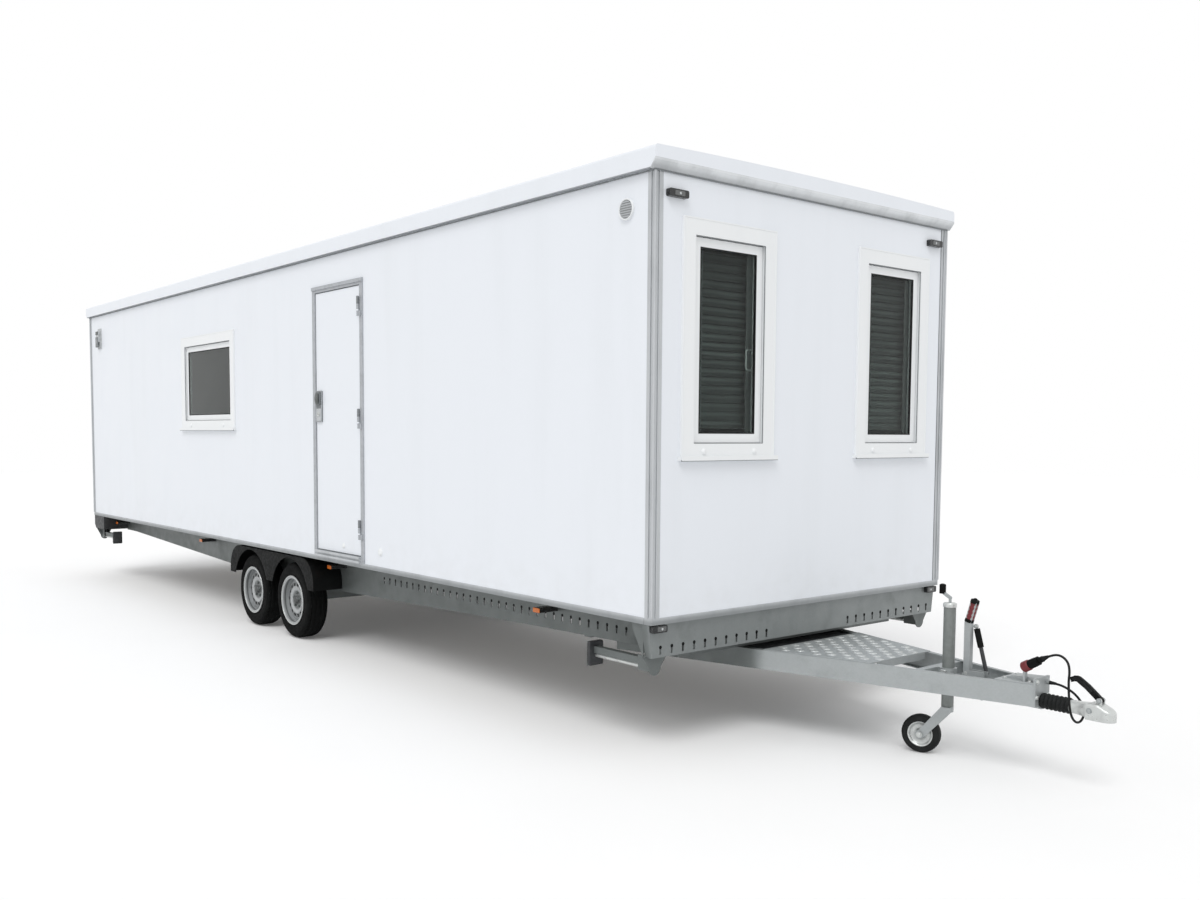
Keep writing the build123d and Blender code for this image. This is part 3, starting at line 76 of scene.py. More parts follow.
BODY_FRONT, BODY_HALF, PANEL_TOP = box("front_wall")[1]
PANEL_LOW = box("front_wall")[0][2]
RIM_EDGE = box("rim_front_left")[1][1]
BEAM_SIDE = box("chassis_beams")[1][1]
CORNERS = ("front_right", "front_left", "rear_right", "rear_left")

# Sizes of the CAD pieces that their boxes don't tell, in metres

TYRE_BEAD = 0.1803
PANE_WIDTH = 0.422
LAMP_DEPTH = 0.130
ARM_GAP = 0.432  # from the middle to the drawbar arms, at the body's front
ARM_TAPER = 0.26946  # how much narrower that is for each metre ahead

# Directions

ORIGIN = (0, 0, 0)
FORWARD = (1, 0, 0)
RIGHT = (0, -1, 0)
UP = (0, 0, 1)
SIDES = (-1, 1)


def at(x, y, z):
    """A point by its distance ahead of the body's front face, its side and its height."""
    return np.array([BODY_FRONT + x, y, z], float)


# Shapes: each is a pair of arrays, points (n, 3) and four-cornered faces (m, 4)


def grid_shape(points, around_u=False, around_v=False):
    """Quads over a grid of points p[u, v]: each face joins (u, v), (u, v+1), (u+1, v+1) and (u+1, v),
    and the last row or column joins the first where asked."""
    rows, columns = points.shape[:2]
    index = np.arange(rows * columns).reshape(rows, columns)
    if around_u:
        index = np.concatenate([index, index[:1]], axis=0)
    if around_v:
        index = np.concatenate([index, index[:, :1]], axis=1)
    faces = np.stack([index[:-1, :-1], index[:-1, 1:], index[1:, 1:], index[1:, :-1]], axis=-1)
    return points.reshape(-1, 3), faces.reshape(-1, 4)


def closed_ends(rings):
    """Rings of points with the middle of the first and last ring added before and after them."""
    middles = np.repeat(rings[[0, -1]].mean(1, keepdims=True), rings.shape[1], 1)
    return np.concatenate([middles[:1], rings, middles[1:]])


def join(*shapes):
    """One shape from several, with the face numbers moved on past the points before them."""
    starts = np.cumsum([0] + [len(points) for points, faces in shapes[:-1]])
    points = np.concatenate([points for points, faces in shapes])
    faces = np.concatenate([faces + start for (_, faces), start in zip(shapes, starts)])
    return points, faces


def copies(shape, places):
    """The same shape moved to each place: point = shape point + place."""
    points, faces = shape
    places = np.asarray(places, float).reshape(-1, 3)
    moved = (places[:, None, :] + points[None, :, :]).reshape(-1, 3)
    numbers = (np.arange(len(places)) * len(points))[:, None, None] + faces[None, :, :]
    return moved, numbers.reshape(-1, 4)


def axes_along(direction):
    """A unit vector along the direction and two more across it, all at right angles."""
    steep = 0.9
    along = np.asarray(direction, float)
    along = along / np.linalg.norm(along)
    across = np.cross(UP if abs(along[2]) < steep else FORWARD, along)
    across /= np.linalg.norm(across)
    return along, across, np.cross(along, across)


def lathe(profile, centre, direction, steps=40):
    """A turned shape: a profile of (along, radius) carried round an axis, with t from 0 to a full turn:
    centre + along * axis + radius * (cos t * across + sin t * other)."""
    along, across, other = axes_along(direction)
    profile = np.asarray(profile, float)
    t = np.linspace(0, tau, steps, endpoint=False)
    ring = np.cos(t)[:, None] * across + np.sin(t)[:, None] * other
    points = profile[:, 0, None, None] * along + profile[:, 1, None, None] * ring[None]
    return grid_shape(points + np.asarray(centre, float), around_v=True)


def block(centre, half, softness=0.12, steps=24):
    """A rounded block: a superellipsoid over latitude v and longitude u, each coordinate the half size times
    the signed power of its cosine or sine; a small power gives flat faces and tight round edges."""
    u = np.linspace(-pi, pi, 2 * steps, endpoint=False) + pi / (2 * steps)
    v = np.linspace(-pi / 2, pi / 2, steps + 1)

    def power(value):
        return np.sign(value) * np.abs(value) ** softness

    flat = power(np.cos(v))[:, None]
    height = np.repeat(power(np.sin(v))[:, None], len(u), 1)
    points = np.stack([flat * power(np.cos(u)), flat * power(np.sin(u)), height], -1)
    return grid_shape(points * np.asarray(half, float) + np.asarray(centre, float), around_v=True)


def tube(path, radius, steps=16, side=(0, 1, 0)):
    """A section carried along a path: point = path + radius * (cos t * n + sin t * b), where b and n stand at
    right angles to the path's direction. radius is one value, or a pair of half sizes for each path point."""
    path = np.asarray(path, float)
    way = np.gradient(path, axis=0)
    way /= np.linalg.norm(way, axis=1)[:, None]
    normal = np.cross(way, np.asarray(side, float))
    normal /= np.linalg.norm(normal, axis=1)[:, None]
    binormal = np.cross(way, normal)
    t = np.linspace(0, tau, steps, endpoint=False)
    size = np.broadcast_to(np.asarray(radius, float), (len(path), 2))
    rings = path[:, None] + size[:, None, :1] * np.cos(t)[None, :, None] * normal[:, None]
    rings = rings + size[:, None, 1:] * np.sin(t)[None, :, None] * binormal[:, None]
    return grid_shape(closed_ends(rings), around_v=True)


def arc_path(corners, radius, steps=8):
    """A path of straight runs with round corners: each corner is a quadratic curve between points one radius
    away, (1-t)^2 * before + 2t(1-t) * corner + t^2 * after."""
    corners = np.asarray(corners, float)
    t = np.linspace(0, 1, steps)[None, :, None]
    before = corners[:-2] - corners[1:-1]
    after = corners[2:] - corners[1:-1]
    start = corners[1:-1] + radius * before / np.linalg.norm(before, axis=1)[:, None]
    end = corners[1:-1] + radius * after / np.linalg.norm(after, axis=1)[:, None]
    bends = (1 - t) ** 2 * start[:, None] + 2 * t * (1 - t) * corners[1:-1, None] + t**2 * end[:, None]
    return np.concatenate([corners[:1], bends.reshape(-1, 3), corners[-1:]])


def ring_strip(face, middle, size, width, depth, lift=0.0):
    """A rectangular ring on a face: the section's four corners carried round the rectangle's four corners."""
    origin, x_dir, out = (np.asarray(v, float) for v in face)
    signs = np.array([(-1, -1), (1, -1), (1, 1), (-1, 1)], float)
    section = np.array([(0, lift), (0, lift + depth), (-width, lift + depth), (-width, lift)])
    plane = signs[None] * (np.asarray(size, float) / 2 + section[:, None, :1])
    across, up = middle[0] + plane[..., :1], middle[1] + plane[..., 1:]
    points = origin + across * x_dir + up * np.array(UP, float)
    return grid_shape(points + section[:, None, 1:] * out, around_u=True, around_v=True)


def rod(start, end, radius, steps=20):
    """A turned bar with chamfered ends: its profile leaves the axis, runs at the radius and comes back."""
    start, end = np.asarray(start, float), np.asarray(end, float)
    length = np.linalg.norm(end - start)
    edge = min(0.25 * radius, 0.2 * length)
    profile = [(0, 0), (0, radius - edge), (edge, radius)]
    profile += [(length - edge, radius), (length, radius - edge), (length, 0)]
    return lathe(profile, start, end - start, steps)


def dome(direction, radius, height, steps=24):
    """A cap: a quarter ellipse from the rim to the top, turned about the direction."""
    t = np.linspace(0, pi / 2, 9)
    profile = np.stack([height * np.sin(t), radius * np.cos(t)], -1)
    return lathe(np.concatenate([[(0, 0)], profile]), ORIGIN, direction, steps)


def cap_shape(direction, radius, height):
    """A moulded cover cap: a low flange, a waist and a domed top, turned about the direction."""
    flange, waist, shoulder = 0.28 * height, 0.36 * height, 0.45 * height
    t = np.linspace(0, pi / 2, 8)
    top = np.stack([shoulder + (height - shoulder) * np.sin(t), 0.80 * radius * np.cos(t)], -1)
    profile = np.concatenate([[(0, 0), (0, radius), (flange, radius), (waist, 0.84 * radius)], top])
    return lathe(profile, ORIGIN, direction, 28)


def bolt(direction, radius, height):
    """A bolt head: a washer and a six-sided head with a chamfered top, turned about the direction."""
    wide, thick = 1.35 * radius, 0.22 * height
    washer = lathe([(0, 0), (0, wide), (thick, wide), (thick, 0)], ORIGIN, direction, 18)
    foot, shoulder, crown = 0.2 * height, 0.86 * height, 0.82 * radius
    head = lathe([(foot, radius), (shoulder, radius), (height, crown), (height, 0)], ORIGIN, direction, 6)
    return join(washer, head)


def bolt_pair(x, y, z, radius, height):
    """Bolt heads on both sides of the middle, each facing outwards."""
    return join(*(copies(bolt((0, side, 0), radius, height), [at(x, side * y, z)]) for side in SIDES))


def put(name, shape, finish, body="cabin", smooth=True, bevel=0.0):
    """Make the object of a shape, weld its seams, point its faces outwards and let it ride on a body."""
    points, faces = shape
    mesh = bpy.data.meshes.new(name)
    mesh.from_pydata(points.astype(np.float32), [], faces)
    work = bmesh.new()
    work.from_mesh(mesh)
    bmesh.ops.remove_doubles(work, verts=work.verts, dist=1e-6)
    bmesh.ops.dissolve_degenerate(work, edges=work.edges, dist=1e-7)
    bmesh.ops.recalc_face_normals(work, faces=work.faces)
    work.to_mesh(mesh)
    work.free()
    mesh.polygons.foreach_set("use_smooth", np.full(len(mesh.polygons), smooth))
    piece = bpy.data.objects.new(name, mesh)
    bpy.context.scene.collection.objects.link(piece)
    mesh.materials.append(FINISHES[finish])
    if smooth:
        mesh.set_sharp_from_angle(angle=radians(35))
    if bevel:
        edge = piece.modifiers.new("edge", "BEVEL")
        edge.width = bevel
        edge.segments = 2
        edge.limit_method = "ANGLE"
    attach(piece, body)
    return piece


# Materials

FINISHES = {}
OWN_FINISHES = {
    "door_frame": "door_grey",
    "door_latch": "shadow_grey",
    "power_inlet": "inlet_grey",
    # The jockey tube takes a darker grey copy of the zinc as painted shade.
    "jockey_tube": "shaded_tube_grey",
}


def fill(tree, node, inputs):
    """Give each input of a node its value, or a link where the value is another node's output."""
    for key, value in inputs.items():
        if isinstance(value, bpy.types.NodeSocket):
            tree.links.new(value, node.inputs[key])
        else:
            node.inputs[key].default_value = value


def add_node(tree, kind, inputs, **settings):
    """Add a shader node with its settings and inputs, and return its outputs."""
    node = tree.nodes.new("ShaderNode" + kind)
    for key, value in settings.items():
        setattr(node, key, value)
    fill(tree, node, inputs)
    return node.outputs


def shaded(colour, share):
    """A colour with every channel times the same share."""
    return tuple(share * v for v in colour)


class Finish:
    """A procedural material on Object coordinates: clouded colour, varied roughness and a fine bump."""

    def __init__(self, name, colour, roughness, metallic=0.0, specular=0.5):
        self.material = bpy.data.materials.new("cabin_" + name)
        FINISHES[name] = self.material
        self.material.use_nodes = True
        self.colour = (*colour, 1.0)
        self.material.diffuse_color = self.colour
        self.tree = self.material.node_tree
        self.place = self.node("TexCoord", {})["Object"]
        self.shade({"Base Color": self.colour, "Roughness": roughness})
        self.shade({"Metallic": metallic, "Specular IOR Level": specular})

    def node(self, kind, inputs, **settings):
        """Add a node to this material and return its outputs."""
        return add_node(self.tree, kind, inputs, **settings)

    def shade(self, inputs):
        """Set or link inputs of the surface shader."""
        fill(self.tree, self.tree.nodes["Principled BSDF"], inputs)

    def noise(self, scale, detail, stretch=(1, 1, 1)):
        """Clouds of about 1 / scale metres, drawn out by the inverse of the stretch."""
        place = self.node("Mapping", {"Vector": self.place, "Scale": stretch})["Vector"]
        inputs = {"Vector": place, "Scale": scale, "Detail": detail, "Roughness": 0.55}
        return self.node("TexNoise", inputs)["Fac"]

    def cells(self, scale):
        """A random value for each cell of about 1 / scale metres."""
        colour = self.node("TexVoronoi", {"Vector": self.place, "Scale": scale})["Color"]
        return self.node("SeparateColor", {"Color": colour})["Red"]

    def stripes(self, pitch):
        """Level stripes, one to each pitch, a little wavy."""
        inputs = {"Vector": self.place, "Scale": pi / 10 / pitch}
        inputs |= {"Distortion": 0.7, "Detail": 2.0, "Detail Scale": 0.6}
        return self.node("TexWave", inputs, bands_direction="Z")["Fac"]

    def axis(self, name):
        """One coordinate of the place: X ahead, Y to the left or Z up."""
        return self.node("SeparateXYZ", {"Vector": self.place})[name]

    def upward(self):
        """The height part of the surface's own direction: -1 facing down, 1 facing up."""
        return self.node("SeparateXYZ", {"Vector": self.node("TexCoord", {})["Normal"]})["Z"]

    def from_axle(self, centre):
        """Distance in the upright lengthwise plane from a wheel's axle."""
        flat = self.node("VectorMath", {0: self.place, 1: (1, 0, 1)}, operation="MULTIPLY")["Vector"]
        axle = (centre[0], 0, centre[2])
        return self.node("VectorMath", {0: flat, 1: axle}, operation="DISTANCE")["Value"]

    def maths(self, operation, *values):
        """One operation on one or two values."""
        return self.node("Math", dict(enumerate(values)), operation=operation)["Value"]

    def ranged(self, value, low, high, to_low, to_high):
        """A smooth step: to_low where the value is low, to_high where it is high."""
        inputs = {"Value": value, "From Min": low, "From Max": high, "To Min": to_low, "To Max": to_high}
        return self.node("MapRange", inputs, interpolation_type="SMOOTHSTEP")["Result"]

    def band(self, value, low, high, soft, amount):
        """The amount where the value lies between low and high, nothing outside, with soft ends."""
        rise = self.ranged(value, low - soft, low + soft, 0.0, amount)
        return self.maths("MULTIPLY", rise, self.ranged(value, high - soft, high + soft, 1.0, 0.0))

    def tint(self, colour, amount):
        """Mix a colour over what is there, by a 0 to 1 value."""
        inputs = {"A": self.colour, "B": (*colour, 1.0), "Factor": amount}
        self.colour = self.node("Mix", inputs, data_type="RGBA")["Result"]
        self.shade({"Base Color": self.colour})

    def clouds(self, colour, amount, scale, detail, start, full, stretch=(1, 1, 1)):
        """Tint by noise: nothing where it is below start, the whole amount where it is above full."""
        self.tint(colour, self.ranged(self.noise(scale, detail, stretch), start, full, 0.0, amount))

    def satin(self, low, high, scale, detail=3, start=0.3, full=0.7):
        """Roughness that clouds between low and high."""
        self.shade({"Roughness": self.ranged(self.noise(scale, detail), start, full, low, high)})

    def grain(self, scale, depth, strength, detail=2, stretch=(1, 1, 1)):
        """A fine bump of noise."""
        inputs = {"Height": self.noise(scale, detail, stretch), "Distance": depth, "Strength": strength}
        self.shade({"Normal": self.node("Bump", inputs)["Normal"]})


def colour_property(name, description, default):
    return FloatVectorProperty(name=name, description=description, subtype="COLOR", default=default)


def length_property(name, description, default):
    return FloatProperty(
        name=name, description=description, default=default, unit="LENGTH", subtype="DISTANCE"
    )


class CabinColours(bpy.types.PropertyGroup):
    """Colours of the cabin's finishes."""

    wall: colour_property("Wall", "White of the wall and roof panels", (0.80, 0.83, 0.875))
    frame: colour_property("Frame", "White of the window frames", (0.828, 0.846, 0.856))
    trim: colour_property("Trim", "Bare aluminium of posts and rails", (0.76, 0.785, 0.805))
    zinc: colour_property("Zinc", "Galvanised chassis steel", (0.42, 0.445, 0.45))
    bright: colour_property("Bright metal", "Cast coupling and plated rods", (0.62, 0.64, 0.63))
    black: colour_property("Black", "Moulded plastic and rubber", (0.010, 0.011, 0.011))
    amber: colour_property("Amber", "Side lamp lens", (0.80, 0.20, 0.03))
    red: colour_property("Red", "Tail lamp lens, grip and plug end", (0.17, 0.016, 0.020))
    blind: colour_property("Blind", "Slats behind the front windows", (0.020, 0.026, 0.024))


class CabinSizes(bpy.types.PropertyGroup):
    """Sizes of the small fittings."""

    bolt_radius: length_property("Bolt head", "Radius of a bolt head", 0.011)
    seal_width: length_property("Glazing seal", "Width of the rubber round a pane", 0.007)
    pad_length: length_property("Tread pad", "Length of a raised pad on the step", 0.046)
    pad_pitch: length_property("Pad pitch", "Distance between tread pads", 0.064)
    tread_blocks: IntProperty(name="Tread blocks", description="Blocks round a tyre", default=56, min=8)
    lead_diameter: length_property("Lead", "Diameter of the electric lead", 0.011)


def sizes():
    """The fittings' sizes, as set on the scene."""
    return bpy.context.scene.cabin_sizes


def finish_panels(c):
    """White panels and frames with faint streaks and soil low down and painted shade on the roof's downward
    faces, the floor board, and aluminium trim with painted shade below the panel top and on the rails.
    """
    streak, soil, underside = (0.70, 0.73, 0.76), (0.52, 0.52, 0.50), (0.40, 0.42, 0.44)
    for name in ("wall_panel", "roof_shell", "door_white", "frame_white"):
        f = Finish(name, tuple(c.frame if name == "frame_white" else c.wall), 0.38)
        f.clouds(streak, amount=0.22, scale=1.6, detail=5, start=0.45, full=0.80, stretch=(2.2, 2.2, 0.22))
        near_ground = f.ranged(f.axis("Z"), 0.70, 1.05, 1.0, 0.0)
        patches = f.ranged(f.noise(9.0, 6), 0.35, 0.75, 0.0, 0.10)
        f.tint(soil, f.maths("MULTIPLY", near_ground, patches))
        if name == "roof_shell":
            # Painted shade: the roof shell's downward faces are tinted darker grey.
            f.tint(underside, f.ranged(f.upward(), -0.15, -0.55, 0.0, 0.8))
        f.satin(0.30, 0.44, scale=3.0)
        f.grain(scale=260.0, depth=0.0004, strength=0.15)
    board, board_grain = (0.30, 0.28, 0.25), (0.20, 0.17, 0.13)
    f = Finish("floor_board", board, 0.6)
    f.clouds(board_grain, amount=0.8, scale=5.0, detail=6, start=0.35, full=0.7, stretch=(0.4, 6, 1))
    f.grain(scale=60.0, detail=4, depth=0.001, strength=0.3)
    dull, eaves = (0.40, 0.42, 0.43), (0.30, 0.315, 0.33)
    fascia, painted_rail_shade = (0.62, 0.64, 0.66), (0.20, 0.215, 0.22)
    f = Finish("grey_trim", tuple(c.trim), 0.42, metallic=0.40)
    f.clouds(dull, amount=0.5, scale=7.0, detail=5, start=0.40, full=0.75, stretch=(1, 1, 0.4))
    # Painted shade: from just below the panel top downwards the trim is tinted half way to a darker grey, for
    # the shade under the eaves.
    f.tint(eaves, f.ranged(f.axis("Z"), PANEL_TOP + 0.030, PANEL_TOP + 0.004, 0.0, 0.50))
    f.tint(fascia, f.ranged(f.axis("Z"), PANEL_TOP + 0.020, PANEL_TOP + 0.050, 0.0, 0.50))
    # Painted shade: below the panel foot the rails are tinted dark grey.
    f.tint(painted_rail_shade, f.ranged(f.axis("Z"), PANEL_LOW + 0.004, PANEL_LOW - 0.024, 0.0, 0.72))
    f.satin(0.36, 0.52, scale=40.0)
    f.grain(scale=180.0, depth=0.0004, strength=0.2)


def finish_metals(c):
    """Galvanised steel with spangles and painted shade under the body; rims with painted shade rings at the
    hub, holes and groove, partly brake dust at the holes; bright and dark steel.
    """
    # under is the painted shade of zinc under the body; hub and ring on the next line are painted shade for
    # the rims.
    rim, dull, under = (0.46, 0.475, 0.48), (0.20, 0.215, 0.21), (0.095, 0.108, 0.104)
    hub, ring = (0.07, 0.074, 0.074), (0.06, 0.064, 0.064)
    for name, colour, metal in (("zinc_steel", tuple(c.zinc), 0.55), ("rim_steel", rim, 0.7)):
        f = Finish(name, colour, 0.5, metallic=metal)
        f.tint(shaded(colour, 0.80), f.ranged(f.cells(130.0), 0.15, 0.95, 0.0, 0.20))
        f.clouds(dull, amount=0.45, scale=4.5, detail=7, start=0.52, full=0.80)
        if name == "rim_steel":
            axles = [np.mean(box(f"rim_{corner}"), axis=0) for corner in CORNERS[::2]]
            reach = f.maths("MINIMUM", *(f.from_axle(axle) for axle in axles))
            # Painted shade: the recessed middle round the hub is tinted dark.
            f.tint(hub, f.ranged(reach, 0.086, 0.066, 0.0, 0.72))
            # Partly brake dust, partly painted shade: a dark band over the ring of holes.
            f.tint(ring, f.band(reach, 0.108, 0.141, 0.006, 0.62))
            # Painted shade: a dark band round the barrel's groove, near the rim's edge.
            side = f.maths("ABSOLUTE", f.axis("Y"))
            f.tint(ring, f.band(side, RIM_EDGE - 0.027, RIM_EDGE - 0.015, 0.003, 0.66))
        else:
            # Painted shade: zinc behind the body's front face is tinted dark, as under the body.
            f.tint(under, f.ranged(f.axis("X"), BODY_FRONT - 0.06, BODY_FRONT + 0.045, 0.80, 0.0))
        f.satin(0.42, 0.58, scale=9.0, detail=4)
        f.grain(scale=220.0, detail=3, depth=0.0003, strength=0.10)
    tarnish, dark, scuff = (0.42, 0.43, 0.43), (0.035, 0.037, 0.04), (0.10, 0.10, 0.10)
    f = Finish("bright_steel", tuple(c.bright), 0.34, metallic=0.7)
    f.clouds(tarnish, amount=0.7, scale=22.0, detail=6, start=0.45, full=0.75)
    f.satin(0.26, 0.48, scale=35.0, detail=4)
    f.grain(scale=150.0, detail=3, depth=0.0006, strength=0.3)
    f = Finish("dark_steel", dark, 0.5, metallic=0.2)
    f.clouds(scuff, amount=0.6, scale=10.0, detail=6, start=0.5, full=0.8)
    f.satin(0.40, 0.62, scale=30.0)
    f.grain(scale=200.0, depth=0.0005, strength=0.25)


def finish_plastics(c):
    """Black plastic, rubber and tyres as shares of one black, plain greys, and the lamps' glossy plastics."""
    blacks = {
        "black_plastic": (0.55, 0.5, 0.10),
        "rubber_black": (0.60, 0.9, 0.20),
        # The tyres' very low share of the black is partly their own black and partly painted shade under the
        # body and guards.
        "tyre_rubber": (0.78, 0.4, 0.10),
    }
    for name, (roughness, share, specular) in blacks.items():
        colour = shaded(c.black, share)
        f = Finish(name, colour, roughness, specular=specular)
        f.clouds(shaded(colour, 2.6), amount=0.6, scale=9.0, detail=5, start=0.46, full=0.78)
        f.satin(roughness - 0.08, roughness + 0.12, scale=50.0)
        f.grain(scale=320.0, depth=0.0004, strength=0.18)
    greys = {
        "shadow_grey": (0.20, 0.215, 0.225),
        "vent_grey": (0.34, 0.35, 0.36),
        "door_grey": (0.41, 0.43, 0.455),
        "guide_grey": (0.10, 0.11, 0.108),
        # Painted shade: the jockey tube's grey is the zinc darkened.
        "shaded_tube_grey": (0.205, 0.222, 0.216),
        "inlet_grey": (0.52, 0.54, 0.55),
    }
    for name, colour in greys.items():
        f = Finish(name, colour, 0.5)
        f.clouds(shaded(colour, 0.7), amount=0.5, scale=30.0, detail=5, start=0.42, full=0.72)
        f.satin(0.40, 0.58, scale=40.0)
        f.grain(scale=200.0, depth=0.0004, strength=0.2)
    glossy, dim = 0.16, 0.38
    lenses = {
        "marker_shell": ((0.020, 0.021, 0.022), glossy),
        "lamp_shell": (tuple(c.red), glossy),
        "amber_lens": (tuple(c.amber), glossy),
        "pale_lens": ((0.13, 0.135, 0.135), glossy),
        "red_plastic": (tuple(c.red), dim),
    }
    for name, (colour, gloss) in lenses.items():
        f = Finish(name, colour, 0.22)
        deep, stretch = shaded(colour, 0.65), (1, 1, 3)
        f.clouds(deep, amount=0.6, scale=160.0, detail=2, start=0.35, full=0.7, stretch=stretch)
        f.satin(gloss, gloss + 0.16, scale=45.0)
        f.grain(scale=240.0, detail=1, depth=0.0006, strength=0.3, stretch=(3, 3, 1))


def finish_windows(c):
    """Slatted blinds with painted shade towards the top and painted light towards the foot, and the clear
    panes.
    """
    slat, patch = (0.150, 0.172, 0.162), (0.008, 0.010, 0.009)
    top, foot = (0.012, 0.015, 0.014), (0.115, 0.135, 0.127)
    slat_pitch, middle = 0.045, 2.05
    f = Finish("blind_grey", tuple(c.blind), 0.5)
    f.tint(slat, f.ranged(f.stripes(slat_pitch), 0.30, 0.95, 0.0, 0.85))
    # Painted shade: the blind darkens towards its top.
    f.tint(top, f.ranged(f.axis("Z"), middle, middle + 0.50, 0.0, 0.68))
    # Painted light: the blind pales towards its foot.
    f.tint(foot, f.ranged(f.axis("Z"), middle, middle - 0.35, 0.0, 0.35))
    f.clouds(patch, amount=0.5, scale=1.6, detail=3, start=0.42, full=0.8, stretch=(1, 0.4, 2))
    f.grain(scale=120.0, depth=0.0004, strength=0.2)
    glass, film = (0.62, 0.68, 0.66), (0.52, 0.58, 0.56)
    f = Finish("window_glass", glass, 0.02)
    f.shade({"Transmission Weight": 1.0, "IOR": 1.22})
    f.clouds(film, amount=0.5, scale=2.5, detail=4, start=0.45, full=0.75)
    f.satin(0.0, 0.05, scale=6.0, detail=5, start=0.4, full=0.8)


def dress_nodes():
    """Give every CAD node the finish of its slot in the record, or its own where its shade differs."""
    wanted = {entry["node"]: entry["material_slot"] for entry in frame["record"]["subparts"]}
    for node, piece in frame["nodes"].items():
        piece.data.materials.clear()
        piece.data.materials.append(FINISHES[OWN_FINISHES.get(node, wanted[node])])


class CABIN_OT_finishes(bpy.types.Operator):
    """Make the cabin's materials and lay them on the CAD nodes"""

    bl_idname = "cabin.finishes"
    bl_label = "Finishes"

    def execute(self, context):
        for make in (finish_panels, finish_metals, finish_plastics, finish_windows):
            make(context.scene.cabin_colours)
        dress_nodes()
        return {"FINISHED"}


# Pieces


def tyre_shape(centre, radius, width, bead, blocks):
    """A tyre over the angle a and the section parameter t: half a superellipse from bead to bead, narrowed at
    the beads, less grooves round the tread and short cuts across its shoulders; the inside closes along the
    bead. Two fine ridges run round each wall."""
    wall_power, tread_power, bead_inset = 0.42, 0.5, 0.17
    ridges, ridge_height = ((0.36, 0.004), (0.72, 0.003)), 0.012
    groove_places, groove_half, groove_depth = (-0.30, -0.10, 0.10, 0.30), 0.0035, 0.007
    crown_start, shoulder_start, cut_depth = 0.90, 0.31, 0.005
    a = np.linspace(0, tau, blocks * 6, endpoint=False)
    t = np.linspace(0, pi, 84)
    rise = np.abs(np.sin(t)) ** wall_power
    radial = bead + (radius - bead) * rise
    across = np.sign(np.cos(t)) * np.abs(np.cos(t)) ** tread_power * (1 - bead_inset * (1 - rise) ** 2)
    y = across * width / 2
    ridge = sum(np.exp(-(((radial - bead - share * (radius - bead)) / wide) ** 2)) for share, wide in ridges)
    y = y * (1 - ridge_height + ridge_height * np.clip(ridge, 0, 1))
    crown = np.clip((rise - crown_start) / 0.05, 0, 1)
    grooves = [np.clip(1.6 - np.abs(y - place * width) / groove_half, 0, 1) for place in groove_places]
    grooves = np.max(grooves, axis=0)
    cut = np.clip(3.2 * np.cos(blocks * a) - 2.0, 0, 1)
    shoulder = np.clip((np.abs(y) / width - shoulder_start) / 0.02, 0, 1)
    depth = crown * np.maximum(groove_depth * grooves[None], cut_depth * shoulder[None] * cut[:, None])
    r = radial[None] - depth
    points = np.stack([r * np.cos(a)[:, None], np.broadcast_to(y, r.shape), r * np.sin(a)[:, None]], -1)
    return grid_shape(points + np.asarray(centre), around_u=True, around_v=True)


class CABIN_OT_tyres(bpy.types.Operator):
    """Road tyres with grooved treads, in place of the plain turned solids"""

    bl_idname = "cabin.tyres"
    bl_label = "Tyres"

    def execute(self, context):
        for name in CORNERS:
            low, high = box(f"tyre_{name}")
            radius, width = (high[2] - low[2]) / 2, high[1] - low[1]
            shape = tyre_shape((low + high) / 2, radius, width, TYRE_BEAD, sizes().tread_blocks)
            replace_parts(put(f"road_tyre_{name}", shape, "tyre_rubber", f"wheel_{name}"), f"tyre_{name}")
        return {"FINISHED"}


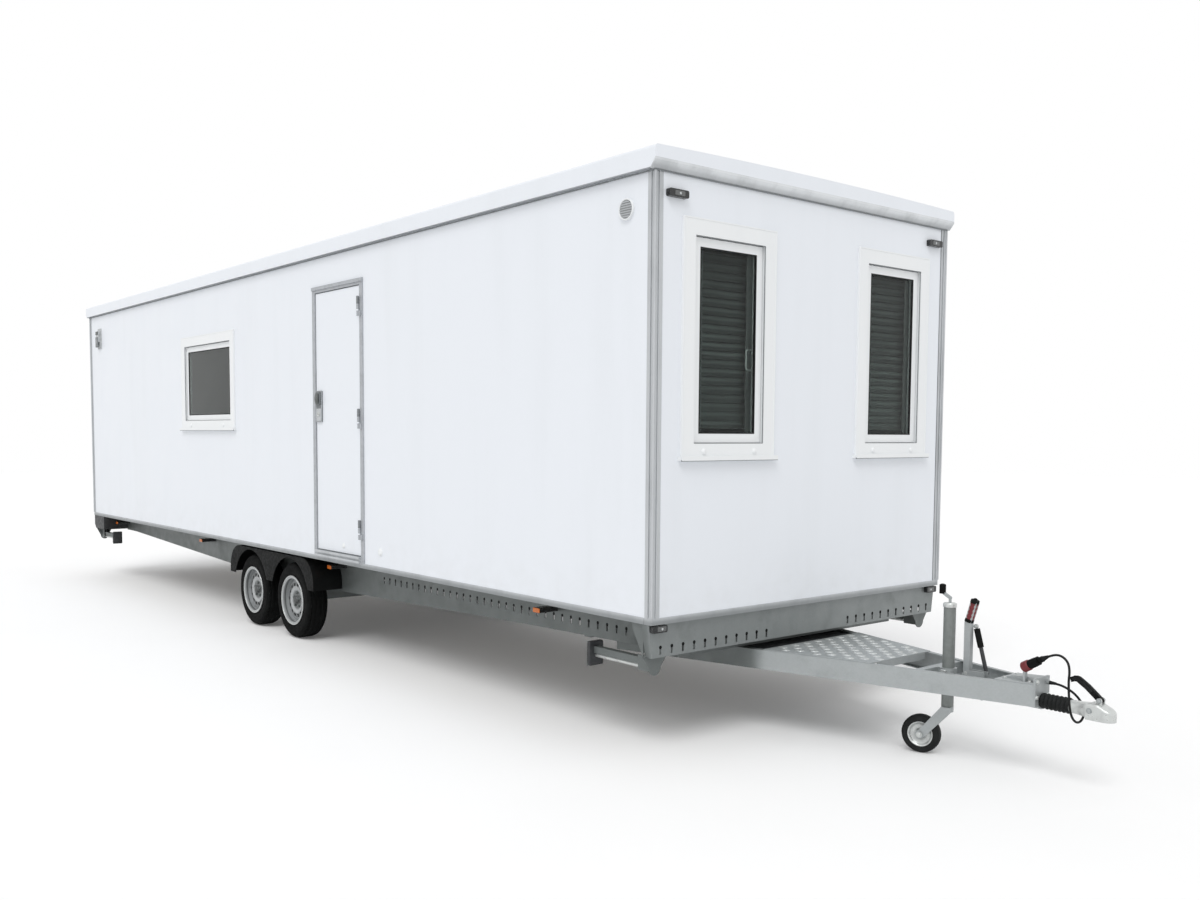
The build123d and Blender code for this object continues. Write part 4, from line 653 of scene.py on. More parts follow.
class CABIN_OT_wheel_fittings(bpy.types.Operator):
    """Brake drums, rim lips in bright steel as painted highlights, hub caps, wheel bolts and valves on the
    road wheels
    """

    bl_idname = "cabin.wheel_fittings"
    bl_label = "Wheel fittings"

    def execute(self, context):
        for name in CORNERS:
            self.make_wheel(name)
        return {"FINISHED"}

    def make_wheel(self, name):
        """Turned pieces about the axle, set in from the tyre's outer face or on the rim's outer edge."""
        hub_depth, drum_depth = 0.0505, 0.0585
        lip_ring, lip_radius = 0.1925, 0.0032
        bolt_count, bolt_turn, bolt_ring, bolt_radius, bolt_height = 5, 0.3, 0.056, 0.0095, 0.013
        out, outer = (-1.0, 0) if name.endswith("right") else (1.0, 1)
        body, axle = f"wheel_{name}", (0, out, 0)
        rim = box(f"rim_{name}")
        middle = (rim[0] + rim[1]) / 2 * (1, 0, 1)
        face = box(f"tyre_{name}")[outer][1]
        hub = middle + (0, face - out * hub_depth, 0)
        drum = [(-0.003, 0.030), (-0.003, 0.078), (0.004, 0.096), (0.0045, 0.146), (0.000, 0.152)]
        drum += [(-0.060, 0.152), (-0.062, 0.148), (-0.062, 0.030), (-0.003, 0.030)]
        drum = lathe(drum, middle + (0, face - out * drum_depth, 0), axle, 56)
        put(f"brake_drum_{name}", drum, "dark_steel", body)
        # Painted highlight: the rim's lip is a ring of bright steel, paler than the rim's own steel.
        t = np.linspace(0, tau, 13)
        lip = np.stack([lip_radius * np.cos(t), lip_ring + lip_radius * np.sin(t)], -1)
        put(f"rim_highlight_lip_{name}", lathe(lip, middle + (0, rim[outer][1], 0), axle, 72), "bright_steel", body)
        cap = [(0, 0), (0, 0.031), (0.016, 0.031), (0.021, 0.028), (0.024, 0.020), (0.026, 0.0)]
        put(f"hub_cap_{name}", lathe(cap, hub, axle, 32), "rim_steel", body)
        angles = np.arange(bolt_count) * tau / bolt_count + bolt_turn
        ring = np.stack([bolt_ring * np.cos(angles), 0 * angles, bolt_ring * np.sin(angles)], -1)
        bolts = copies(bolt(axle, bolt_radius, bolt_height), hub + ring)
        put(f"wheel_bolts_{name}", bolts, "zinc_steel", body)
        valve = [(0, 0.0), (0, 0.006), (0.012, 0.005), (0.022, 0.004), (0.026, 0.0)]
        valve = lathe(valve, hub + (0.155, -out * 0.006, 0.03), axle, 14)
        put(f"tyre_valve_{name}", valve, "rubber_black", body)


def window_places():
    """Face, pane middle and pane size of every window: front ones by their y, side ones by their x."""
    low, high = box("front_window_glass")
    face = ((high[0], 0, 0), (0, 1, 0), FORWARD)
    level, height = (low[2] + high[2]) / 2, high[2] - low[2]
    places = [(face, (side * (high[1] - PANE_WIDTH / 2), level), (PANE_WIDTH, height)) for side in SIDES]
    low, high = box("side_window_glass")
    middle, size = (low + high) / 2, high - low
    for side in SIDES:
        face = ((0, side * high[1], 0), FORWARD, (0, side, 0))
        places.append((face, middle[[0, 2]], size[[0, 2]]))
    return places


class CABIN_OT_window_fittings(bpy.types.Operator):
    """Seals, grooves with painted shade and beads round the panes, blind guides, cover caps, sill drips
    partly of painted shade and a handle
    """

    bl_idname = "cabin.window_fittings"
    bl_label = "Window fittings"

    def execute(self, context):
        self.make_rings("glazing_seals", "rubber_black", sizes().seal_width, depth=0.003)
        # Painted shade: a thin dark ring stands for the shade in the groove round each sash.
        self.make_rings("sash_groove_shades", "shadow_grey", 0.004, depth=0.004, wider=0.1035, lift=0.0143)
        self.make_rings("casing_beads", "frame_white", 0.007, 0.003, wider=0.274, lift=0.021, bevel=0.0012)
        self.make_guides()
        self.make_caps()
        self.make_drips()
        self.make_handle()
        return {"FINISHED"}

    def make_rings(self, name, finish, width, depth, wider=0.0, lift=0.0, bevel=0.0):
        """A rectangular ring round every pane, wider than the pane and lifted from the glass."""
        rings = [
            ring_strip(face, middle, np.add(size, wider), width, depth, lift)
            for face, middle, size in window_places()
        ]
        put(name, join(*rings), finish, smooth=False, bevel=bevel)

    def make_guides(self):
        """Upright rounded channels at both edges of each front blind, between the glass and the slats."""
        thick, wide, end_gap, inset, back = 0.0035, 0.026, 0.004, 0.020, 0.003
        x = (box("front_blinds")[1][0] + box("front_window_glass")[0][0]) / 2 - back
        shapes = []
        for face, (across, level), (width, height) in window_places()[:2]:
            for edge in SIDES:
                place = (x, across + edge * (width / 2 - inset), level)
                shapes.append(block(place, (thick, wide, height / 2 - end_gap)))
        put("blind_guides", join(*shapes), "guide_grey")

    def make_caps(self):
        """Two caps low on each casing, a fixed way in from the casing's edges."""
        radius, height = 0.016, 0.011
        proud, level, across = 0.012, 1.540, (0.900, 0.520)
        front = [at(proud, side * y, level) for side in SIDES for y in across]
        put("front_casing_caps", copies(cap_shape(FORWARD, radius, height), front), "frame_white")
        back, up, inset = 0.020, 0.045, 0.25
        low, high = box("side_window_frames")
        shapes = []
        for side in SIDES:
            places = [(x, side * (high[1] - back), low[2] + up) for x in (low[0] + inset, high[0] - inset)]
            shapes.append(copies(cap_shape((0, side, 0), radius, height), places))
        put("side_casing_caps", join(*shapes), "frame_white")

    def make_drips(self):
        """A rolled edge along the underside of every sill, dark grey partly as painted shade under the sill:
        a small round section carried along it.
        """
        radius, back, up, front_inner = 0.0045, 0.005, 0.001, 0.345
        low, high = box("front_window_frames")
        x, z = high[0] - back, low[2] + up
        edges = [rod((x, side * front_inner, z), (x, side * high[1], z), radius, 12) for side in SIDES]
        low, high = box("side_window_frames")
        y, z = high[1] - back, low[2] + up
        edges += [rod((low[0], side * y, z), (high[0], side * y, z), radius, 12) for side in SIDES]
        # The drips' dark grey is partly painted shade under the sills.
        put("sill_drips", join(*edges), "shadow_grey")

    def make_handle(self):
        """A bent bar with two feet on the right pane's inner edge: a round section along a rounded path."""
        foot, reach, low, high = -0.497, 0.044, 1.968, 2.074
        bend, radius, back = 0.016, 0.0048, 0.008
        x = box("front_window_glass")[0][0] - back
        corners = [(x, foot, low), (x, foot - reach, low), (x, foot - reach, high), (x, foot, high)]
        handle = tube(arc_path(corners, bend), radius, 12, side=FORWARD)
        put("window_handles", handle, "bright_steel")


class CABIN_OT_door_fittings(bpy.types.Operator):
    """Latch face with its paddle and lock, hinge barrels, the small caps by the door and the sill's ribs"""

    bl_idname = "cabin.door_fittings"
    bl_label = "Door fittings"

    def execute(self, context):
        self.make_latch()
        self.make_hinges()
        skin, level = -1.240, 0.812
        door_cap = copies(cap_shape(RIGHT, 0.020, 0.009), [at(-3.238, skin, level)])
        put("door_cap", door_cap, "frame_white", "door")
        wall_cap = copies(cap_shape(RIGHT, 0.028, 0.012), [at(-2.706, skin, level - 0.001)])
        put("wall_cap", wall_cap, "frame_white")
        end_gap, radius = 0.006, 0.0022
        low, high = box("door_sill")
        rows = np.linspace(-1.258, -1.200, 6)
        rear, front, top = low[0] + end_gap, high[0] - end_gap, high[2]
        ribs = [rod((rear, y, top), (front, y, top), radius, 8) for y in rows]
        put("sill_ribs", join(*ribs), "shadow_grey")
        return {"FINISHED"}

    def make_latch(self):
        """A rounded plate, a turned lock with a dark block of painted shade in its keyway, a paddle as a flat
        section along an arched path, and a rim.
        """
        plate_level, lock_level, paddle_level, paddle_length, rim_level = 1.757, 1.762, 1.838, 0.076, 1.819
        low, high = box("door_latch")
        middle = (low[0] + high[0]) / 2
        face = low[1] + 0.014
        plate = block((middle, face - 0.001, plate_level), (0.036, 0.003, 0.046), softness=0.14)
        put("latch_plate", plate, "grey_trim", "door")
        lock = [(0, 0), (0, 0.0175), (0.004, 0.0175), (0.006, 0.0150), (0.007, 0.0115)]
        lock += [(0.0052, 0.0095), (0.0052, 0)]
        lock = lathe(lock, (middle, face - 0.0035, lock_level), RIGHT, 32)
        put("latch_lock", lock, "bright_steel", "door")
        # Painted shade: a dark block stands for the shade in the keyway.
        key = block((middle, face - 0.0092, lock_level), (0.0014, 0.0014, 0.0062), softness=0.3, steps=8)
        put("latch_keyway_shade", key, "black_plastic", "door")
        u = np.linspace(0, 1, 24)
        arch = np.sin(pi * u)
        bow, height = low[1] - 0.002 - 0.006 * arch, paddle_level + paddle_length * u
        path = np.stack([0 * u + middle, bow, height], -1)
        section = np.stack([0 * u + 0.0042, 0.022 + 0.005 * arch**0.6], -1)
        put("latch_paddle", tube(path, section, 24, FORWARD), "guide_grey", "door")
        face = ((0, face, 0), FORWARD, RIGHT)
        rim = ring_strip(face, (middle, rim_level), (0.086, 0.230), width=0.004, depth=0.003, lift=-0.001)
        put("latch_rim", rim, "grey_trim", "door", smooth=False)

    def make_hinges(self):
        """Barrels with a groove at the joint and rounded pin heads, turned about the hinge line."""
        line, door_foot, levels = at(-2.973, -1.258, 0), 0.710, (0.212, 0.990, 1.768)
        radius, groove = 0.0098, 0.0092
        t = np.linspace(0, pi / 2, 6)
        head = np.stack([0.089 + 0.005 * np.sin(t), radius * np.cos(t)], -1)
        barrel = [(0.037, 0.0), (0.037, radius), (0.062, radius), (0.063, groove), (0.064, radius)]
        barrel = np.concatenate([barrel, head])
        foot = [(0.001, 0.0), (0.001, radius), (0.035, radius), (0.035, 0.0)]
        places = [line + (0, 0, door_foot + level) for level in levels]
        put("hinge_feet", copies(lathe(foot, ORIGIN, UP, 20), places), "door_grey")
        put("hinge_barrels", copies(lathe(barrel, ORIGIN, UP, 20), places), "shadow_grey", "door")


class CABIN_OT_lamp_lenses(bpy.types.Operator):
    """Clear, amber and red lenses on the lamps, and painted highlights on the front ones"""

    bl_idname = "cabin.lamp_lenses"
    bl_label = "Lamp lenses"

    def execute(self, context):
        self.make_front()
        lamp_level, lamps_behind = 0.603, (1.1067, 3.7200, 6.3612, 8.9001)
        face = BEAM_SIDE + LAMP_DEPTH
        places = [at(-x, side * face, lamp_level) for x in lamps_behind for side in SIDES]
        amber = copies(block(ORIGIN, (0.031, 0.005, 0.0135), softness=0.25), places)
        put("side_lenses", amber, "amber_lens")
        tail_side, tail_level, rear = 1.090, 0.629, box("tail_lamps")[0][0] - 0.001
        tail = (
            ("red_lens", "red_plastic", 0.0, 0.037),
            ("turn_lens", "amber_lens", 0.079, 0.036),
            ("back_lens", "pale_lens", -0.079, 0.036),
        )
        for name, finish, shift, half in tail:
            places = [(rear, side * (tail_side + shift), tail_level) for side in SIDES]
            put(name, copies(block(ORIGIN, (0.004, half, 0.041), softness=0.2), places), finish)
        return {"FINISHED"}

    def make_front(self):
        """Rounded lenses on the high and the corner lamps, each with a small pale dome near its middle as a
        painted highlight.
        """
        high_side, high_level, high_face = 1.099, 2.804, 0.0262
        corner_side, corner_level, corner_face = 1.172, 0.654, 0.0042
        thick, tall, bulb_shift = 0.0026, 0.012, 0.002
        high = [at(high_face, side * high_side, high_level) for side in SIDES]
        corner = [at(corner_face, side * corner_side, corner_level) for side in SIDES]
        high_lens = copies(block(ORIGIN, (thick, 0.034, tall), softness=0.25), high)
        corner_lens = copies(block(ORIGIN, (thick, 0.030, tall), softness=0.25), corner)
        put("front_lenses", join(high_lens, corner_lens), "pale_lens")
        # Painted highlight: small pale domes on the lens faces.
        spots = [at(0.0288, side * (high_side - bulb_shift), high_level) for side in SIDES]
        spots += [at(0.0066, side * (corner_side - bulb_shift), corner_level) for side in SIDES]
        put("front_lens_highlights", copies(dome(FORWARD, 0.0065, 0.0020), spots), "inlet_grey")


class CABIN_OT_wall_fittings(bpy.types.Operator):
    """Louvres in the round vent with a disc of painted shade behind them, the lid of the power inlet, and the
    beads and seams of posts with painted shadow lines under the eaves
    """

    bl_idname = "cabin.wall_fittings"
    bl_label = "Wall fittings"

    def execute(self, context):
        self.make_vent()
        self.make_inlet()
        self.make_posts()
        return {"FINISHED"}

    def make_vent(self):
        """A grey disc of painted shade behind the louvres, each louvre as long as the circle allows at its
        height, and a rolled rim.
        """
        insert_radius, louvre_reach, top_louvre, louvres = 0.0455, 0.0445, 0.036, 7
        rim_ring, rim_thick, rim_wide, proud = 0.0500, 0.0055, 0.0042, 0.003
        low, high = box("vent_grille")
        middle = (low + high) / 2
        face = np.array([middle[0], low[1], middle[2]])
        # Painted shade: a grey disc behind the louvres stands for the shade inside the vent.
        insert = [(-0.002, 0.0), (-0.002, insert_radius), (0.0006, insert_radius), (0.0012, 0.0)]
        put("vent_shade_disc", lathe(insert, face, RIGHT, 40), "vent_grey")
        levels = np.linspace(-top_louvre, top_louvre, louvres)
        reach = np.sqrt(louvre_reach**2 - levels**2)
        slats = [
            tube([face + (-r, -proud, z), face + (r, -proud, z)], (0.0016, 0.0033), 12, UP)
            for r, z in zip(reach, levels)
        ]
        put("vent_louvres", join(*slats), "grey_trim")
        t = np.linspace(0, tau, 23)
        rim = np.stack([rim_thick * np.sin(t), rim_ring + rim_wide * np.cos(t)], -1)
        put("vent_rim", lathe(rim, face, RIGHT, 48), "frame_white")

    def make_inlet(self):
        """Rounded flange, lid with a finger lip and hood over the socket, and a turned window in the lid."""
        low, high = box("power_inlet")
        x, face = (low[0] + high[0]) / 2, low[1]
        middle = (low[2] + high[2]) / 2
        flange = block((x, -BODY_HALF - 0.002, middle + 0.004), (0.066, 0.004, 0.112), softness=0.10)
        put("inlet_flange", flange, "inlet_grey")
        lid = block((x, face - 0.0015, low[2] + 0.062), (0.041, 0.005, 0.056), softness=0.16)
        lip = block((x, face - 0.006, low[2] + 0.014), (0.020, 0.004, 0.005), softness=0.3)
        put("inlet_lid", join(lid, lip), "shadow_grey")
        hood = block((x, face - 0.001, high[2] - 0.030), (0.041, 0.004, 0.018), softness=0.2)
        put("inlet_hood", hood, "guide_grey")
        window = [(0, 0.0), (0, 0.026), (0.003, 0.026), (0.0035, 0.022), (0.0015, 0.020), (0.0015, 0.0)]
        window = lathe(window, (x, face - 0.0062, low[2] + 0.068), RIGHT, 32)
        put("inlet_window", window, "vent_grey")

    def make_posts(self):
        """Beads on the corner and each leg, dark seams along end legs, and painted shadow lines along the
        eaves, all round bars.
        """
        corner_inset, corner_radius, leg_inset, leg_radius = 0.004, 0.0065, 0.030, 0.0032
        seam_back, seam_inset, seam_radius, end_gap = 0.007, 0.0575, 0.0015, 0.002
        eaves_drop, eaves_radius = 0.003, 0.0038
        low, high = box("corner_posts")

        def upright(x, y, radius, steps):
            return rod((x, y, low[2] + end_gap), (x, y, high[2] - end_gap), radius, steps)

        beads, seams = [], []
        for end, x in ((1, high[0]), (-1, low[0])):
            for side, y in ((1, high[1]), (-1, low[1])):
                beads.append(upright(x - end * corner_inset, y - side * corner_inset, corner_radius, 14))
                beads.append(upright(x - end * leg_inset, y, leg_radius, 14))
                beads.append(upright(x, y - side * leg_inset, leg_radius, 14))
                seams.append(upright(x - end * seam_back, y - side * seam_inset, seam_radius, 8))
        put("post_beads", join(*beads), "grey_trim")
        # Painted shadow: thin dark bars along the eaves stand for the shadow line under the roof's edge.
        level = high[2] - eaves_drop
        corners = [(high[0], low[1]), (high[0], high[1]), (low[0], high[1]), (low[0], low[1])]
        runs = zip(corners, corners[1:] + corners[:1])
        lines = [rod((*start, level), (*end, level), eaves_radius, 10) for start, end in runs]
        put("eaves_shadow_lines", join(*lines), "shadow_grey")
        put("post_seams", join(*seams), "shadow_grey")


class CABIN_OT_step_treads(bpy.types.Operator):
    """Raised tread pads on the drawbar step"""

    bl_idname = "cabin.step_treads"
    bl_label = "Step treads"

    def execute(self, context):
        pad_height, sunk, first_row, side_edge, front_edge = 0.0055, 0.0004, 0.032, 0.045, 0.025
        row_share, column_share, pad_share = 0.9, 1.55, 0.62
        rows, columns_each_side = 10, 8
        low, high = box("drawbar_step")
        pitch, length = sizes().pad_pitch, sizes().pad_length
        points, faces = dome(UP, 1.0, 1.0, 14)
        pad = points * (pad_share * length, length / 2, pad_height), faces
        columns = np.arange(-columns_each_side, columns_each_side + 1)
        row, column = np.meshgrid(np.arange(rows), columns, indexing="ij")
        x = low[0] + first_row + row * pitch * row_share
        y = (column + 0.5 * (row % 2)) * column_share * pitch
        half = ARM_GAP - ARM_TAPER * (x - BODY_FRONT) - side_edge
        inside = (np.abs(y) < half) & (x < high[0] - front_edge)
        places = np.stack([x[inside], y[inside], np.full(inside.sum(), high[2] - sunk)], -1)
        put("tread_pads", copies(pad, places), "bright_steel")
        return {"FINISHED"}


class CABIN_OT_drawbar_fittings(bpy.types.Operator):
    """Bolt heads and grease nipple of the drawbar, a dark sheet of painted shade behind the step, gussets,
    and dark caps of painted shade in the slot heads
    """

    bl_idname = "cabin.drawbar_fittings"
    bl_label = "Drawbar fittings"

    def execute(self, context):
        self.make_bolts()
        self.make_shade_sheet()
        self.make_gussets()
        self.make_slot_hole_shades()
        return {"FINISHED"}

    def make_bolts(self):
        """Bolt heads on the housing's top and end plates, and a turned grease nipple."""
        radius, height = 0.8 * sizes().bolt_radius, 0.008
        top_level, end_plate = 0.468, 1.374
        rows = ((1.212, 0.056), (1.335, 0.050))
        tops = [at(x, side * y, top_level) for x, y in rows for side in SIDES]
        ends = [at(end_plate, y, z) for y, z in ((-0.050, 0.474), (-0.053, 0.400), (0.053, 0.400))]
        bolts = join(copies(bolt(UP, radius, height), tops), copies(bolt(FORWARD, radius, height), ends))
        put("drawbar_bolts", bolts, "bright_steel")
        nipple = [(0, 0), (0, 0.006), (0.004, 0.006), (0.006, 0.0035), (0.011, 0.0035)]
        nipple += [(0.013, 0.0045), (0.016, 0.003), (0.016, 0)]
        put("grease_nipple", lathe(nipple, at(1.280, 0, 0.491), UP, 14), "bright_steel")

    def make_shade_sheet(self):
        """A dark pressed sheet of painted shade between the arms behind the step, over x along the drawbar
        and v across: its side is v times the arms' gap at x, its height falls and rises in shallow cosine
        folds along x."""
        rear, front, rows, columns = -0.330, 0.040, 38, 9
        level, fold_depth, fold_pitch, thickness, edge_gap = 0.4535, 0.006, 0.062, 0.003, 0.007
        x, v = np.meshgrid(np.linspace(rear, front, rows), np.linspace(-1, 1, columns), indexing="ij")
        top = level - fold_depth * (0.5 - 0.5 * np.cos(x * tau / fold_pitch))
        upper = np.stack([BODY_FRONT + x, (ARM_GAP - ARM_TAPER * x - edge_gap) * v, top], -1)
        loop = np.concatenate([upper, upper[:, ::-1] - (0, 0, thickness)], axis=1)
        # Painted shade: this dark sheet fills the gap behind the step, where there is only shade.
        put("drawbar_shade_sheet", grid_shape(closed_ends(loop), around_v=True), "dark_steel")

    def make_gussets(self):
        """Side plates behind the ends of the front crossmember: a four-sided outline in layers across, the
        outer layers drawn in by a small chamfer."""
        outline = np.array([(-0.069, 0.6768), (-0.160, 0.6768), (-0.150, 0.640), (-0.072, 0.506)])
        layers = np.array([1.2230, 1.2235, 1.2285, 1.2290])
        chamfer = np.array([0.0012, 0.0, 0.0, 0.0012])
        flat = outline + chamfer[:, None, None] * np.sign(outline.mean(0) - outline)
        shapes = []
        for side in SIDES:
            across = np.broadcast_to(side * layers[:, None], flat.shape[:2])
            rings = np.stack([BODY_FRONT + flat[..., 0], across, flat[..., 1]], -1)
            shapes.append(grid_shape(closed_ends(rings), around_v=True))
        put("corner_gussets", join(*shapes), "zinc_steel", smooth=False)

    def make_slot_hole_shades(self):
        """Painted shade in the round heads of the chassis slots, which are key-shaped: low dark turned caps
        in rows.
        """
        pitch, sunk = 0.080, 0.0004
        beam_first, beam_level, beam_count = 0.470, 0.570, 34
        plate_first, plate_level, plate_count = 0.082, 0.556, 11
        beam, plate = BEAM_SIDE - sunk, box("front_crossmember")[1][0] - sunk
        profile = [(0, 0), (0, 0.0098), (0.0012, 0.0092), (0.0012, 0)]
        shapes = []
        for side in SIDES:
            row = [at(-beam_first - pitch * index, side * beam, beam_level) for index in range(beam_count)]
            shapes.append(copies(lathe(profile, ORIGIN, (0, side, 0), 20), row))
            across = BODY_HALF - plate_first - pitch * np.arange(plate_count)
            row = [(plate, side * y, plate_level) for y in across]
            shapes.append(copies(lathe(profile, ORIGIN, FORWARD, 20), row))
        # Painted shade: dark caps stand for the shade in the slots' round heads.
        put("slot_hole_shades", join(*shapes), "black_plastic")


class CABIN_OT_jockey_fittings(bpy.types.Operator):
    """Rims, tread ribs and axle nuts of the jockey wheel, its tube's collar, crank sleeve and clamp"""

    bl_idname = "cabin.jockey_fittings"
    bl_label = "Jockey wheel fittings"

    def execute(self, context):
        self.make_wheel()
        self.make_tube()
        self.make_clamp()
        return {"FINISHED"}

    def make_wheel(self):
        """Dished rims on both sides, fine ribs round the tread and the axle's nuts, turned about the axle."""
        hub, axle = at(0.7544, -0.0397, 0.098), np.array([0.3123, -0.9500, 0.0])
        rim = [(0.0115, 0.0), (0.0125, 0.022), (0.0185, 0.0245), (0.0195, 0.030), (0.0150, 0.0345)]
        rim += [(0.0140, 0.046), (0.0165, 0.052), (0.0225, 0.0565), (0.0258, 0.0615), (0.0258, 0.0655)]
        rim += [(0.0225, 0.0655), (0.0115, 0.0600), (0.0115, 0.0)]
        rims = join(lathe(rim, hub, axle, 56), lathe(rim, hub, -axle, 56))
        put("jockey_rims", rims, "bright_steel", "jockey_wheel")
        rib_half, rib_foot, rib_top = 0.0016, 0.0972, 0.0984
        rib = np.array([(-rib_half, rib_foot), (0, rib_top), (rib_half, rib_foot), (-rib_half, rib_foot)])
        ribs = [lathe(rib + (shift, 0), hub, axle, 64) for shift in (-0.009, 0.0, 0.009)]
        put("jockey_tread", join(*ribs), "rubber_black", "jockey_wheel")
        nut_out, nut_radius, nut_height = 0.044, 0.012, 0.010
        nuts = [
            copies(bolt(side * axle, nut_radius, nut_height), [hub + side * nut_out * axle])
            for side in SIDES
        ]
        put("jockey_nuts", join(*nuts), "bright_steel", "jockey_fork")

    def make_tube(self):
        """A turned collar on the tube, and the crank's sleeve with fine rings and a rounded top."""
        collar = [(-0.020, 0.0), (-0.020, 0.0335), (-0.003, 0.0335)]
        collar += [(0.001, 0.031), (0.0025, 0.020), (0.0025, 0.0)]
        put("jockey_collar", lathe(collar, at(0.875, 0, 0.783), UP, 40), "bright_steel", "jockey_tube")
        length, radius, ripple, ripples = 0.050, 0.0162, 0.0010, 9
        s = np.linspace(0, 1, 40)
        swell = radius + ripple * np.sin(s * ripples * tau) * (s < 0.85)
        swell = swell * np.clip(1.02 - np.clip(s - 0.86, 0, 1) ** 2 * 38, 0, 1)
        sleeve = np.concatenate([[(0, 0)], np.stack([length * s, swell], -1), [(length, 0)]])
        put("crank_sleeve", lathe(sleeve, at(0.831, 0, 0.827), UP, 28), "black_plastic", "jockey_tube")

    def make_clamp(self):
        """The clamp's screw with a cross bar and round knobs, all turned, through a rounded lug."""
        x, level, bar_side, bar_half, knob_half, knob_radius = 0.875, 0.425, -0.080, 0.040, 0.037, 0.009
        screw = rod(at(x, -0.040, level), at(x, -0.082, level), 0.007)
        bar = rod(at(x - bar_half, bar_side, level), at(x + bar_half, bar_side, level), 0.006)
        knobs = [
            copies(dome((end, 0, 0), knob_radius, knob_radius), [at(x + end * knob_half, bar_side, level)])
            for end in (1, -1)
        ]
        lug = block(at(x, -0.046, level), (0.016, 0.008, 0.024), softness=0.25)
        put("clamp_handle", join(screw, bar, *knobs, lug), "bright_steel")


class CABIN_OT_brake_fittings(bpy.types.Operator):
    """Grip, ferrule and button of the handbrake lever, its pivot bolts and the sleeve of its gas strut"""

    bl_idname = "cabin.brake_fittings"
    bl_label = "Handbrake fittings"

    def execute(self, context):
        foot, top = at(0.984, 0, 0.706), at(1.0135, 0, 0.811)
        half_long, half_wide, ripple, ripples, end_step = 0.0205, 0.0172, 0.05, 5, 0.10
        s = np.linspace(0, 1, 40)
        path = foot * (1 - s[:, None]) + top * s[:, None]
        swell = 1 + ripple * np.sin(s * ripples * tau) - end_step * (s > 0.97)
        grip = tube(path, np.stack([half_long * swell, half_wide * swell], -1), 28)
        put("brake_grip", grip, "red_plastic", "brake_lever")
        button = [(-0.012, 0.0), (-0.012, 0.0215), (0.002, 0.0215), (0.0045, 0.0185), (0.0045, 0.0085)]
        button += [(0.010, 0.0085), (0.012, 0.0060), (0.012, 0.0)]
        put("brake_button", lathe(button, top, top - foot, 28), "black_plastic", "brake_lever")
        ferrule = [(-0.004, 0.0), (-0.004, 0.0222), (0.010, 0.0222), (0.012, 0.0205), (0.012, 0.0)]
        put("grip_ferrule", lathe(ferrule, foot, top - foot, 28), "black_plastic", "brake_lever")
        put("lever_bolts", bolt_pair(0.983, 0.014, 0.446, 0.010, 0.008), "bright_steel", "brake_lever")
        strut_head, strut_foot = at(1.005, 0.031, 0.679), at(1.067, 0.031, 0.453)
        sleeve = [(0.0116, 0.0045), (0.0116, 0.0120), (0.0135, 0.0150), (0.106, 0.0150), (0.106, 0.0138)]
        sleeve += [(0.0140, 0.0138), (0.0132, 0.0045), (0.0116, 0.0045)]
        sleeve = lathe(sleeve, strut_head, strut_foot - strut_head, 28)
        put("strut_sleeve", sleeve, "black_plastic", "strut_rod")
        return {"FINISHED"}


class CABIN_OT_coupling_fittings(bpy.types.Operator):
    """Grip and pivot bolts of the coupling handle, and the bolts through the coupling's neck"""

    bl_idname = "cabin.coupling_fittings"
    bl_label = "Coupling fittings"

    def execute(self, context):
        pivot_x, pivot_z, reach, bend = 1.650, 0.432, 0.138, 0.014
        radius, ripple, ripples, end_step = 0.0138, 0.0008, 7, 0.004
        bends = np.array([(-0.28, 0, 0.235), (-0.44, 0, 0.37), (-0.80, 0, 0.61), (-1.0, 0, 0.53)])
        path = arc_path(at(pivot_x, 0, pivot_z) + reach * bends, bend, 10)
        s = np.linspace(0, 1, len(path))
        swell = radius + ripple * np.sin(s * ripples * tau) - end_step * (s > 0.97)
        put("handle_grip", tube(path, np.stack([swell, swell], -1), 24), "rubber_black", "coupling_handle")
        put("handle_bolts", bolt_pair(pivot_x, 0.018, pivot_z, 0.009, 0.008), "zinc_steel", "coupling")
        put("coupling_bolts", bolt_pair(1.618, 0.042, 0.384, 0.010, 0.007), "zinc_steel", "coupling")
        return {"FINISHED"}


class CABIN_OT_plug_fittings(bpy.types.Operator):
    """Tapered strain reliefs at both ends of the lead, and the plug's ribs and red end"""

    bl_idname = "cabin.plug_fittings"
    bl_label = "Plug fittings"

    def execute(self, context):
        length, radius, narrowing, ripple, ripples = 0.034, 0.0098, 0.0034, 0.0005, 5
        boot_start, boot_flare = -0.004, 0.0035
        gland, rear, way = at(1.384, 0.040, 0.462), at(1.404, -0.062, 0.591), np.array([-43.0, 4.0, -25.0])
        s = np.linspace(0, 1, 26)
        taper = radius - narrowing * s + ripple * np.cos(s * ripples * tau)
        relief = np.concatenate([[(0, 0)], np.stack([length * s, taper], -1), [(length, 0.0)]])
        put("lead_relief", lathe(relief, gland, FORWARD, 24), "rubber_black")
        boot = np.stack([length * s + boot_start, taper + boot_flare * (1 - s)], -1)
        boot = np.concatenate([[(boot_start, 0)], boot, [(length + boot_start, 0.0)]])
        put("plug_boot", lathe(boot, rear, -way, 24), "rubber_black")
        rib = [(-0.002, 0.0205), (-0.0012, 0.0222), (0.0012, 0.0222), (0.002, 0.0205), (-0.002, 0.0205)]
        ribs = [lathe(np.add(rib, (shift, 0)), rear, way, 36) for shift in (0.046, 0.053, 0.060, 0.067)]
        put("plug_ribs", join(*ribs), "black_plastic")
        nose = [(0.078, 0.0), (0.078, 0.0222), (0.081, 0.0256)]
        nose += [(0.112, 0.0256), (0.116, 0.0222), (0.1165, 0.0)]
        put("plug_nose", lathe(nose, rear, way, 40), "red_plastic")
        return {"FINISHED"}


